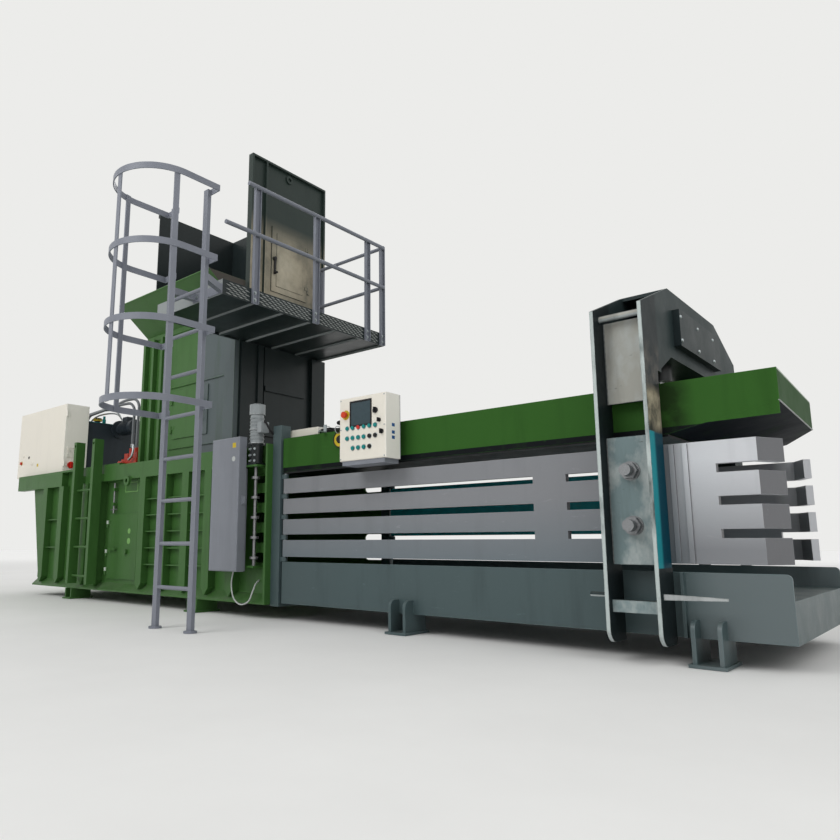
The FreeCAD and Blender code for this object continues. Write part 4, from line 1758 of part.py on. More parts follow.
doc.recompute()
for part in doc.Objects:
    if "Invalid" in part.State or "Error" in part.State:
        raise RuntimeError("not recomputed: " + part.Name)
for name, piece in nodes.items():
    if piece.Shape.isNull() or not piece.Shape.isValid():
        raise RuntimeError("no valid shape: " + name)
    piece.Shape.exportStep(f"parts/{name}.step")
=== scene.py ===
import json
import math

import bpy
import bmesh
from mathutils import Matrix, Vector


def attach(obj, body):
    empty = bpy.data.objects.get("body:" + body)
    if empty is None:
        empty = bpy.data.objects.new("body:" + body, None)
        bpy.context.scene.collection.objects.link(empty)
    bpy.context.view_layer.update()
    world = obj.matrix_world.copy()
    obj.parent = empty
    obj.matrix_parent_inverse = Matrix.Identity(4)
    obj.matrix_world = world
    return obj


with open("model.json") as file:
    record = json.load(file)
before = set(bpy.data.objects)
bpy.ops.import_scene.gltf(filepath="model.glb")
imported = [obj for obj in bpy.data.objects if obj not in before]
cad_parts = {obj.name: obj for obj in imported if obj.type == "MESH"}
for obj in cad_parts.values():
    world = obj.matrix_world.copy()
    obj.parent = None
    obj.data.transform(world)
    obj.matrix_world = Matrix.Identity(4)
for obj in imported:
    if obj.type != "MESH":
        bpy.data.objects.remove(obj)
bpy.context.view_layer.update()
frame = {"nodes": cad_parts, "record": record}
NODES = frame["nodes"]

# X runs along the machine towards the bale outlet, -Y is the near side with the ladder and the
# panels, and Z is up. Materials, lamps and camera use metres in the part's own frame. The pieces
# that class Piece makes use millimetres from ORIGIN.


# ---- Surfaces ----------------------------------------------------------------------------------

COAT_ROUGHNESS = 0.25
SHINE = 0.28            # how strongly paint and plastic reflect
NOISE_ROUGHNESS = 0.6
CRISP = 0.002           # half the width of the edge between two paints


def linear(red, green, blue):
    """A colour given as 0-255 screen values, for a shader socket."""
    def channel(value):
        part = value / 255
        return part / 12.92 if part <= 0.04045 else ((part + 0.055) / 1.055) ** 2.4
    return (channel(red), channel(green), channel(blue), 1.0)


def shade(colour, factor):
    """The colour made darker or paler."""
    return tuple(min(1.0, channel * factor) for channel in colour[:3]) + (1.0,)


class Surface:
    """A small builder for one procedural material. A mask is a value from 0 to 1."""

    def __init__(self, name, rough, metal=0.0, coat=0.0, shine=SHINE):
        self.material = bpy.data.materials.new(name)
        self.material.use_nodes = True
        self.tree = self.material.node_tree
        self.shader = self.tree.nodes["Principled BSDF"]
        self.shader.inputs["Roughness"].default_value = rough
        self.shader.inputs["Metallic"].default_value = metal
        self.shader.inputs["Coat Weight"].default_value = coat
        self.shader.inputs["Coat Roughness"].default_value = COAT_ROUGHNESS
        self.shader.inputs["Specular IOR Level"].default_value = shine
        self.place = self.tree.nodes.new("ShaderNodeTexCoord").outputs["Object"]

    def add(self, kind, **settings):
        """A new node of the material."""
        node = self.tree.nodes.new(kind)
        for key, value in settings.items():
            setattr(node, key, value)
        return node

    def join(self, source, target):
        """Link one node's output to another's input."""
        self.tree.links.new(source, target)

    def noise(self, scale, stretch=(1, 1, 1), detail=5.0):
        """Noise over the part's own frame, drawn out along an axis by stretch."""
        mapping = self.add("ShaderNodeMapping")
        mapping.inputs["Scale"].default_value = stretch
        self.join(self.place, mapping.inputs["Vector"])
        node = self.add("ShaderNodeTexNoise")
        node.inputs["Scale"].default_value = scale
        node.inputs["Detail"].default_value = detail
        node.inputs["Roughness"].default_value = NOISE_ROUGHNESS
        self.join(mapping.outputs["Vector"], node.inputs["Vector"])
        return node.outputs["Fac"]

    def between(self, value, low, high, strength=1.0):
        """Turn a value into a mask that rises from 0 at low to strength at high."""
        node = self.add("ShaderNodeMapRange")
        node.inputs["From Min"].default_value = low
        node.inputs["From Max"].default_value = high
        node.inputs["To Max"].default_value = strength
        self.join(value, node.inputs["Value"])
        return node.outputs["Result"]

    def patches(self, scale, low, high, strength=1.0, **shape):
        """A mask of cloudy patches: noise of this scale, from its level low to its level high."""
        return self.between(self.noise(scale, **shape), low, high, strength)

    def mixed(self, mask, below, above):
        """Blend two colours, each a fixed colour or another node's colour."""
        node = self.add("ShaderNodeMix", data_type="RGBA")
        self.join(mask, node.inputs["Factor"])
        for socket, colour in ((node.inputs[6], below), (node.inputs[7], above)):
            if isinstance(colour, tuple):
                socket.default_value = colour
            else:
                self.join(colour, socket)
        return node.outputs[2]

    def times(self, product, *masks):
        """The overlap of two or more masks."""
        for mask in masks:
            node = self.add("ShaderNodeMath", operation="MULTIPLY")
            self.join(product, node.inputs[0])
            self.join(mask, node.inputs[1])
            product = node.outputs[0]
        return product

    def axis(self, letter, source=None):
        """One coordinate of the place, or of another vector."""
        node = self.add("ShaderNodeSeparateXYZ")
        self.join(source or self.place, node.inputs["Vector"])
        return node.outputs[letter]

    def beyond(self, letter, place, soft=2 * CRISP):
        """A mask over what lies further along an axis than a place."""
        return self.between(self.axis(letter), place, place + soft)

    def before(self, letter, place, soft=2 * CRISP):
        """A mask over what lies less far along an axis than a place."""
        return self.between(self.axis(letter), place, place - soft)

    def band(self, letter, low, high, soft=CRISP):
        """A mask over one stretch of an axis, with softened ends."""
        place = self.axis(letter)
        return self.times(self.between(place, low - soft, low + soft),
                          self.between(place, high + soft, high - soft))

    def faces(self, way, start=0.5, full=0.9):
        """A mask over the faces that look along an axis, such as "-Y". It rises as the surface's
        direction along that axis goes from start to full."""
        sign = -1 if way.startswith("-") else 1
        normal = self.add("ShaderNodeNewGeometry").outputs["Normal"]
        return self.between(self.axis(way[-1], normal), sign * start, sign * full)

    def edges(self, radius, strength):
        """A mask along the edges: where a rounded normal leaves the flat one."""
        rounded = self.add("ShaderNodeBevel", samples=4)
        rounded.inputs["Radius"].default_value = radius
        turned = self.add("ShaderNodeVectorMath", operation="DOT_PRODUCT")
        self.join(rounded.outputs["Normal"], turned.inputs[0])
        self.join(self.add("ShaderNodeNewGeometry").outputs["True Normal"], turned.inputs[1])
        return self.between(turned.outputs["Value"], 0.99, 0.9, strength)

    def colour(self, source):
        """Give the surface its colour."""
        self.join(source, self.shader.inputs["Base Color"])

    def roughness(self, mask, low, high):
        """Let the roughness follow a mask."""
        node = self.add("ShaderNodeMapRange")
        node.inputs["To Min"].default_value = low
        node.inputs["To Max"].default_value = high
        self.join(mask, node.inputs["Value"])
        self.join(node.outputs["Result"], self.shader.inputs["Roughness"])

    def bumps(self, *layers):
        """Stack height fields, each a value with its depth in metres."""
        normal = None
        for height, depth in layers:
            node = self.add("ShaderNodeBump")
            node.inputs["Strength"].default_value = 1.0
            node.inputs["Distance"].default_value = depth
            self.join(height, node.inputs["Height"])
            if normal:
                self.join(normal, node.inputs["Normal"])
            normal = node.outputs["Normal"]
        self.join(normal, self.shader.inputs["Normal"])


# ---- Kinds of material -------------------------------------------------------------------------

# Each mark is a mask of patches: the noise's scale, the two levels between which it rises and,
# where that is fixed, its strength.
CLOUD = (1.7, 0.35, 0.7, 0.35)
GRIME_RUN = (7.0, 0.52, 0.78)
DUST_FILM = (9.0, 0.3, 0.7)
SCRATCH = (38.0, 0.68, 0.74)
WEAR_AND_HIGHLIGHT = (16.0, 0.32, 0.6)
OIL = (11.0, 0.55, 0.75, 0.5)
HANDLING = (60.0, 0.45, 0.75, 0.35)

# How much darker or paler than the colour each mark is
CLOUD_SHADE, GRIME_SHADE, SCRATCH_SHADE, WORN_AND_LIT_SHADE = 0.76, 0.45, 1.7, 2.0
GRAIN_SHADE, OIL_SHADE, HANDLED_SHADE = 0.6, 0.35, 0.6

DUST = linear(128, 127, 120)
DOWNWARDS = (1, 1, 0.12)        # draws noise out into runs
LENGTHWISE = (0.25, 1, 1)       # draws noise out along the machine
WORN_AND_LIT_RADIUS = 0.006             # how far an edge's wear and painted highlight reach
PEEL = (260.0, 0.0003)          # the scale and depth of sprayed paint's fine texture
WAVES = (3.0, 0.004)            # and of the sheet's slow waves


def paint(name, colour, rough=0.42, grime=0.5, dust=0.3, scratch=0.2, edge=0.4, coat=0.04,
          shine=SHINE, tone=None):
    """Machine enamel: cloudy tone, runs of grime, dust on upward faces, fine scratches and
    edges rubbed pale, which partly stand for a painted highlight along the edges. tone may swap
    the cloudy colour for one that masks make."""
    surface = Surface(name, rough, coat=coat, shine=shine)
    if tone:
        body = tone(surface)
    else:
        body = surface.mixed(surface.patches(*CLOUD), colour, shade(colour, CLOUD_SHADE))
    runs = surface.patches(*GRIME_RUN, grime, stretch=DOWNWARDS)
    body = surface.mixed(runs, body, shade(colour, GRIME_SHADE))
    settled = surface.times(surface.faces("Z", 0.3, 0.95), surface.patches(*DUST_FILM, dust))
    body = surface.mixed(settled, body, DUST)
    scored = surface.patches(*SCRATCH, scratch, stretch=LENGTHWISE, detail=3.0)
    body = surface.mixed(scored, body, shade(colour, SCRATCH_SHADE))
    # The pale edges are partly wear and partly a painted highlight.
    rubbed_and_lit = surface.times(surface.edges(WORN_AND_LIT_RADIUS, edge), surface.patches(*WEAR_AND_HIGHLIGHT))
    body = surface.mixed(rubbed_and_lit, body, shade(colour, WORN_AND_LIT_SHADE))
    surface.colour(body)
    surface.roughness(surface.noise(5.0), rough - 0.12, rough + 0.16)
    surface.bumps((surface.noise(PEEL[0], detail=2.0), PEEL[1]),
                  (surface.noise(WAVES[0]), WAVES[1]))
    return surface.material


def bare_metal(name, colour, rough, grain=(1, 1, 1)):
    """Machined or rubbed metal with drawn grain and oily patches."""
    surface = Surface(name, rough, metal=1.0)
    lines = surface.noise(180.0, grain, 3.0)
    drawn = surface.between(lines, 0.3, 0.7, 0.5)
    body = surface.mixed(drawn, colour, shade(colour, GRAIN_SHADE))
    body = surface.mixed(surface.patches(*OIL), body, shade(colour, OIL_SHADE))
    surface.colour(body)
    surface.roughness(surface.noise(14.0), rough, rough + 0.25)
    surface.bumps((lines, 0.0002))
    return surface.material


def moulded(name, colour, rough):
    """Plastic or rubber with a faint grain and handling marks."""
    surface = Surface(name, rough)
    marks = surface.patches(*HANDLING)
    surface.colour(surface.mixed(marks, colour, shade(colour, HANDLED_SHADE)))
    surface.roughness(surface.noise(90.0), rough - 0.08, rough + 0.15)
    surface.bumps((surface.noise(900.0, detail=2.0), 0.0001))
    return surface.material


# ---- Paints that change over one piece ---------------------------------------------------------

# In this section a name that ends in TURN holds the place where a paint begins to change and the
# width over which it does so. One that ends in SPAN holds the two ends of a stretch.

GREEN = linear(60, 101, 47)
DARK = linear(32, 41, 42)
STEEL_PAINT = linear(74, 90, 92)

SLAB = linear(132, 134, 138)
SLAB_LOW = linear(108, 118, 124)
# Past the portal the walls are pale, partly their own finish and partly painted light.
FINGER_PALE_AND_LIT = linear(210, 212, 216)
# The slanted tips are painted in shade on the near wall and painted lit on the far one.
NEAR_TIP_SHADED = linear(110, 111, 114)
FAR_TIP_LIT = linear(214, 216, 220)
TEAL = linear(36, 174, 182)
TEAL_END = 3.55             # the walls' teal stops at the portal
NEAR_FINGERS = 3.745        # the walls are pale past these places
FAR_FINGERS = 3.96
FINGER_BLEND = 0.1
SLAB_TURN = (0.85, 0.40)    # heights, where the slabs grow darker, and where the fingers grow paler as a painted highlight
FINGER_LIGHT_TURN = (0.55, 0.45)


def wall_tone(inwards, pale_from, tip):
    """The squeezed walls are teal towards the bales as far as the portal. Past it they are pale,
    partly their own finish and partly painted light, and their slanted tips carry their own
    painted light and shade."""
    def tone(surface):
        inside = surface.times(surface.faces(inwards, 0.55, 0.8),
                               surface.before("X", TEAL_END))
        slabs = surface.mixed(surface.before("Z", *SLAB_TURN), SLAB, SLAB_LOW)
        # The fingers grow paler towards the top: a painted highlight.
        lit_fingers = surface.mixed(surface.beyond("Z", *FINGER_LIGHT_TURN), SLAB, FINGER_PALE_AND_LIT)
        body = surface.mixed(inside, slabs, TEAL)
        body = surface.mixed(surface.beyond("X", pale_from, FINGER_BLEND), body, lit_fingers)
        # The slanted tips get their own painted light and shade.
        return surface.mixed(surface.faces("X", 0.12, 0.3), body, tip)
    return tone


BEAM_GREEN = linear(50, 92, 36)
BEAM_SMEAR = linear(22, 32, 16)
BEAM_END_SHADE = linear(34, 70, 26)
BEAM_RIM_HIGHLIGHT = linear(170, 178, 168)
BEAM_SHADOW = linear(16, 19, 22)
BEAM_UNDERSIDE_SHADE = linear(12, 20, 28)
SMEAR_SPAN = (3.70, 3.86)   # beside the portal
RIM_HIGHLIGHT_FROM = 1.400            # a painted highlight runs along the end's top edge above this height
FOOT_BELOW = 1.176          # the beam's side carries a painted shadow below this height


def beam_tone(surface):
    """The top beam is green with a dark smear beside the portal, a painted shadow along its foot,
    painted shade on its end and underside, and a painted highlight along the end's top edge."""
    smear = surface.times(surface.band("X", *SMEAR_SPAN, 0.05),
                          surface.patches(5.0, 0.3, 0.55, 0.8))
    body = surface.mixed(smear, BEAM_GREEN, BEAM_SMEAR)
    outward = surface.faces("X", 0.4, 0.6)
    # The end face is a darker copy of the green: painted shade.
    body = surface.mixed(outward, body, BEAM_END_SHADE)
    # A pale band along the end's top edge: a painted highlight.
    rim = surface.times(outward, surface.beyond("Z", RIM_HIGHLIGHT_FROM))
    body = surface.mixed(rim, body, BEAM_RIM_HIGHLIGHT)
    body = surface.mixed(surface.before("Z", FOOT_BELOW, CRISP), body, BEAM_SHADOW)
    # The underside is painted near-black: painted shade.
    return surface.mixed(surface.faces("-Z", 0.4, 0.8), body, BEAM_UNDERSIDE_SHADE)


PORTAL_PAINT = linear(44, 55, 56)
WEB_LOW = linear(120, 138, 140)
WEB_HIGH = linear(172, 172, 164)
WEB_SCRAPED = linear(190, 196, 194)
FLANK_SHADE = linear(30, 38, 40)
REFLECTION_BRIGHT = linear(34, 140, 150)
REFLECTION_DEEP = linear(3, 62, 78)
TAN_GLARE = linear(184, 174, 150)
BROWN_GLARE = linear(104, 98, 90)
EDGE_WEAR_AND_HIGHLIGHT = linear(188, 198, 196)
NOTCH_PALE = linear(176, 184, 184)
BAR_PALE = linear(180, 184, 184)
WEB_SPAN = (3.487, 3.718)       # the web between the upright's two plates
WEB_FRONT_TURN = (-0.09, 0.01)
WEB_PALE_TURN = (1.2, 0.05)     # the web is paler above the jacks
UPRIGHT_TURN = (0.0, 0.03)      # the near upright lies before this
OUTLET_TURN = (3.70, 0.01)      # its outlet plate lies past this
PLATE_SPAN = (-0.235, -0.10)    # from the plate's near edge to its inner one
PLATE_EDGE = -0.231             # the plates' near edges lie before this
NOTCH_TURN = (-0.15, 0.02)
REFLECTION_SPAN = (0.46, 1.14)       # heights of the painted teal reflection and of the painted glare above it
TAN_GLARE_SPAN = (1.16, 1.36)
BROWN_GLARE_SPAN = (1.36, 1.58)
BAR_SPAN = (0.311, 0.339)       # heights of the tie bar, and where its pale end starts
BAR_END = 3.744


def portal_tone(surface):
    """Grey-green plates with pale front edges, rubbed and partly a painted highlight, pale webs,
    a painted teal reflection on the outlet side and painted glare above it."""
    body = portal_web(surface)
    body = portal_flank(surface, body)
    front = surface.times(surface.before("Y", PLATE_EDGE), surface.faces("-Y"))
    # The plates' front faces are rubbed pale, partly wear and partly a painted highlight.
    rubbed_and_lit = surface.times(front, surface.patches(9.0, 0.25, 0.5, stretch=(1, 1, 0.3)))
    body = surface.mixed(rubbed_and_lit, body, EDGE_WEAR_AND_HIGHLIGHT)
    notch = surface.times(surface.before("Y", *NOTCH_TURN), surface.faces("-Z", 0.1, 0.4))
    body = surface.mixed(notch, body, NOTCH_PALE)
    bar = surface.times(surface.band("Z", *BAR_SPAN), surface.beyond("X", BAR_END))
    return surface.mixed(bar, body, BAR_PALE)


def portal_web(surface):
    """The near web is scraped, and paler above the jacks."""
    inset = surface.times(surface.band("X", *WEB_SPAN), surface.before("Y", *WEB_FRONT_TURN),
                          surface.faces("-Y"))
    web = surface.mixed(surface.beyond("Z", *WEB_PALE_TURN), WEB_LOW, WEB_HIGH)
    scraped = surface.patches(5.0, 0.45, 0.62, 0.8, stretch=(1, 1, 0.6))
    web = surface.mixed(scraped, web, WEB_SCRAPED)
    return surface.mixed(inset, PORTAL_PAINT, web)


def portal_flank(surface, body):
    """The near upright's side towards the outlet, in painted shade, with a painted teal
    reflection and two patches of painted glare.
    """
    flank = surface.times(surface.faces("X", 0.6), surface.before("Y", *UPRIGHT_TURN))
    # The near upright's side towards the outlet is painted in shade.
    body = surface.mixed(flank, body, FLANK_SHADE)
    flank = surface.times(flank, surface.beyond("X", *OUTLET_TURN))
    # A teal strip on the outlet plate's side: a painted reflection of the teal walls.
    reflection = surface.times(flank, surface.band("Z", *REFLECTION_SPAN))
    depth = surface.between(surface.axis("Y"), *PLATE_SPAN)
    reflection_streaks = surface.mixed(surface.between(depth, 0.4, 0.62), REFLECTION_BRIGHT, REFLECTION_DEEP)
    body = surface.mixed(reflection, body, reflection_streaks)
    # A tan patch above it: painted glare.
    glare_patch = surface.times(flank, surface.band("Z", *TAN_GLARE_SPAN, 0.03),
                          surface.patches(9.0, 0.3, 0.6, 0.9))
    body = surface.mixed(glare_patch, body, TAN_GLARE)
    # A brownish patch above that: painted glare.
    brown_glare = surface.times(flank, surface.band("Z", *BROWN_GLARE_SPAN, 0.05),
                          surface.patches(12.0, 0.4, 0.65, 0.6))
    return surface.mixed(brown_glare, body, BROWN_GLARE)


TRAY_SHEEN = linear(100, 111, 113)
TRAY_SHEEN_TURN = (3.72, 0.23)


def tray_tone(surface):
    """The tray's near side turns a paler grey past the portal, a painted reflection."""
    side = surface.times(surface.faces("-Y"), surface.beyond("X", *TRAY_SHEEN_TURN))
    return surface.mixed(side, STEEL_PAINT, TRAY_SHEEN)


KNUCKLE_HIGHLIGHT = linear(196, 206, 196)
KNUCKLES_BEFORE = -1.862


def access_tone(surface):
    """The access door's hinge knuckles are bare metal, painted bright as a highlight."""
    return surface.mixed(surface.before("X", KNUCKLES_BEFORE), GREEN, KNUCKLE_HIGHLIGHT)


DECK_EDGE = linear(138, 144, 144)


def platform_tone(surface):
    """The platform's near edge is ladder grey, the rest is dark sheet."""
    return surface.mixed(surface.faces("-Y"), DARK, DECK_EDGE)


LIP_CHEEK = linear(72, 68, 62)


def lip_tone(surface):
    """The lip's cheek towards the platform is brown-grey."""
    return surface.mixed(surface.faces("X"), GREEN, LIP_CHEEK)


CHUTE_GREY = linear(84, 94, 96)
CHUTE_SPLIT = -0.58


def chute_tone(surface):
    """The chute's near side turns from green to grey."""
    return surface.mixed(surface.beyond("X", CHUTE_SPLIT - CRISP), GREEN, CHUTE_GREY)


PANEL_DARK = linear(38, 50, 46)
DUST_GLARE = linear(176, 166, 144)
GLARE_HEART = linear(206, 198, 176)
GLARE_TURN = (3.75, 0.40)       # the glare begins below this height
HEART_Y_SPAN = (0.44, 0.78)
HEART_Z_SPAN = (3.0, 3.5)


def hatch_tone(surface):
    """A dusty glare over the lower half of the panel round the hatch."""
    front = surface.faces("X", 0.4)
    glare_patch = surface.times(surface.before("Z", *GLARE_TURN),
                          surface.patches(2.6, 0.22, 0.55, 0.85), front)
    body = surface.mixed(glare_patch, PANEL_DARK, DUST_GLARE)
    heart = surface.times(surface.band("Y", *HEART_Y_SPAN, 0.12),
                          surface.band("Z", *HEART_Z_SPAN, 0.16),
                          surface.patches(4.0, 0.3, 0.6, 0.75), front)
    return surface.mixed(heart, body, GLARE_HEART)


GEARBOX = linear(30, 34, 36)
MOTOR_SILVER = linear(150, 156, 158)
MOTOR_TURN = (1.382, 0.008)


def motor_tone(surface):
    """A dark gearbox below a silver motor."""
    return surface.mixed(surface.beyond("Z", *MOTOR_TURN), GEARBOX, MOTOR_SILVER)


WHITE = linear(234, 229, 217)
CABINET_FLANK_LIT = linear(250, 247, 238)


def cabinet_tone(surface):
    """The cabinet's flank is painted paler than its door, as painted light against its shade."""
    return surface.mixed(surface.faces("X", 0.5, 0.8), WHITE, CABINET_FLANK_LIT)


# ---- Materials ---------------------------------------------------------------------------------

# A node takes its own material where it has one, and otherwise the one of its slot.
MATERIALS = {
    "green_paint": paint("green_enamel", GREEN, grime=0.5),
    "slab_grey_paint": paint("slab_enamel", SLAB, rough=0.36, grime=0.25, dust=0.1),
    "frame_grey_paint": paint("frame_enamel", STEEL_PAINT, rough=0.38, grime=0.55, scratch=0.4,
                              edge=0.8),
    "dark_sheet_paint": paint("sheet_enamel", DARK, rough=0.34, grime=0.4, dust=0.4, edge=0.7),
    "cover_grey_paint": paint("cover_enamel", linear(130, 134, 142), grime=0.3),
    "ladder_grey_paint": paint("ladder_enamel", linear(126, 130, 140), grime=0.25, dust=0.1),
    "white_paint": paint("cabinet_coat", WHITE, rough=0.4, grime=0.12, dust=0.15, scratch=0.05,
                         edge=0.15, tone=cabinet_tone),
    "tank_dark_paint": paint("tank_enamel", linear(50, 58, 66), grime=0.4),
    "valve_red_paint": paint("valve_enamel", linear(182, 56, 38), rough=0.35),
    "cylinder_black_paint": paint("cylinder_enamel", linear(34, 37, 39), rough=0.35),
    "ram_steel": bare_metal("rubbed_steel", linear(150, 150, 152), 0.35, (0.1, 1, 1)),
    "pin_steel": bare_metal("machined_steel", linear(140, 142, 144), 0.3),
    "rod_chrome": bare_metal("hard_chrome", linear(222, 224, 226), 0.08),
    "hose_rubber": moulded("hose_skin", linear(26, 26, 28), 0.6),
    "screen_glass": moulded("display_glass", linear(58, 74, 80), 0.15),
    "red_plastic": moulded("red_moulding", linear(196, 40, 30), 0.35),
    "teal_plastic": moulded("teal_moulding", linear(16, 132, 130), 0.3),
    "black_plastic": moulded("black_moulding", linear(28, 28, 30), 0.5),
}
OWN_MATERIALS = {
    "near_wall": paint("near_wall_enamel", SLAB, rough=0.36, grime=0.2, dust=0.1,
                       tone=wall_tone("Y", NEAR_FINGERS, NEAR_TIP_SHADED)),
    "far_wall": paint("far_wall_enamel", SLAB, rough=0.36, grime=0.2, dust=0.1,
                      tone=wall_tone("-Y", FAR_FINGERS, FAR_TIP_LIT)),
    "top_beam": paint("beam_enamel", BEAM_GREEN, rough=0.55, grime=0.4, dust=0.15, coat=0.0,
                      shine=0.08, tone=beam_tone),
    "channel_tray": paint("tray_enamel", STEEL_PAINT, rough=0.38, grime=0.5, scratch=0.4,
                          edge=0.8, tone=tray_tone),
    "access_door": paint("access_enamel", GREEN, grime=0.4, tone=access_tone),
    # The platen under the beam is painted near-black as a painted shadow.
    "beam_platen": paint("platen_painted_shadow", linear(16, 20, 22), grime=0.3, edge=0.2),
    "portal_frame": paint("portal_enamel", PORTAL_PAINT, rough=0.45, grime=0.5, scratch=0.5,
                          edge=0.9, coat=0.0, shine=0.12, tone=portal_tone),
    "chute_near_wall": paint("chute_enamel", GREEN, grime=0.4, tone=chute_tone),
    "chute_door": paint("chute_door_enamel", GREEN, grime=0.4, tone=chute_tone),
    "tall_panel": paint("panel_enamel", PANEL_DARK, grime=0.15, edge=0.9, tone=hatch_tone),
    "service_hatch": paint("hatch_enamel", PANEL_DARK, grime=0.15, edge=0.9, tone=hatch_tone),
    "hatch_lever": moulded("lever_grip", linear(30, 30, 31), 0.45),
    "platform": paint("deck_enamel", DARK, rough=0.34, grime=0.3, edge=0.6, tone=platform_tone),
    "loading_lip": paint("lip_enamel", GREEN, grime=0.4, tone=lip_tone),
    "portal_plaque": paint("plaque_enamel", linear(40, 50, 52), rough=0.4, grime=0.3, edge=1.0,
                           coat=0.0, shine=0.12),
    "tying_motor": paint("gear_motor_enamel", linear(60, 64, 66), rough=0.3, edge=0.9,
                         tone=motor_tone),
    "hydraulic_hoses": moulded("steel_braid", linear(112, 116, 120), 0.35),
    "hydraulic_pipes": paint("pipe_enamel", linear(186, 190, 184), grime=0.3),
    "estop_button": moulded("orange_moulding", linear(206, 66, 34), 0.35),
    "push_button_stop": moulded("stop_moulding", linear(206, 50, 40), 0.35),
}
YELLOW = moulded("yellow_moulding", linear(206, 180, 44), 0.4)
PALE_FIELD = moulded("pale_field", linear(188, 192, 190), 0.5)
GREEN_FIELD = moulded("green_field", linear(120, 168, 96), 0.5)
BLUE_FIELD = moulded("blue_field", linear(40, 92, 150), 0.4)
ZINC = bare_metal("zinc_plate", linear(176, 184, 186), 0.34)
SILVER = bare_metal("cast_silver", linear(186, 190, 192), 0.28)
WELD = bare_metal("weld_bead", linear(120, 124, 124), 0.4)
BEAM_PAINT = OWN_MATERIALS["top_beam"]
LATTICE = paint("lattice_enamel", linear(150, 154, 152), grime=0.2, edge=0.2)
BLACK = MATERIALS["black_plastic"]
RUBBER = MATERIALS["hose_rubber"]
TEAL_CAP = MATERIALS["teal_plastic"]


def dress_nodes():
    """Give every CAD node its material."""
    slots = {row["node"]: row["material_slot"] for row in frame["record"]["subparts"]}
    for name, node in NODES.items():
        chosen = OWN_MATERIALS.get(name, MATERIALS[slots[name]])
        for place in node.material_slots:
            place.material = chosen


# ---- How the added pieces are made -------------------------------------------------------------

ORIGIN = Vector((0.790, 0.652, 0.0))    # the flange's middle on the floor, in the part's frame
MILLIMETRE = 0.001
SHARP_FROM = math.radians(40)           # faces that meet at more than this keep a sharp edge
FIELD_THICK = 0.8                       # how far a plain sticker stands out


def smooth_path(corners, steps=8):
    """Points on a smooth curve through the corners."""
    corners = [Vector(corner) for corner in corners]
    ends = [2 * corners[0] - corners[1]] + corners + [2 * corners[-1] - corners[-2]]
    points = []
    for before, start, end, after in zip(ends, ends[1:], ends[2:], ends[3:]):
        for step in range(steps):
            t = step / steps
            points.append((2 * start + (end - before) * t
                           + (2 * before - 5 * start + 4 * end - after) * t ** 2
                           + (3 * start - before - 3 * end + after) * t ** 3) / 2)
    return points + [corners[-1]]


def bead_path(start, end, step=9, wave=1.0):
    """A weld seam's centre line, which wanders a little as it was laid."""
    start, end = Vector(start), Vector(end)
    count = max(2, int((end - start).length / step))
    side = (end - start).orthogonal().normalized()
    return [start.lerp(end, k / count) + side * wave * math.sin(1.7 * k)
            for k in range(count + 1)]


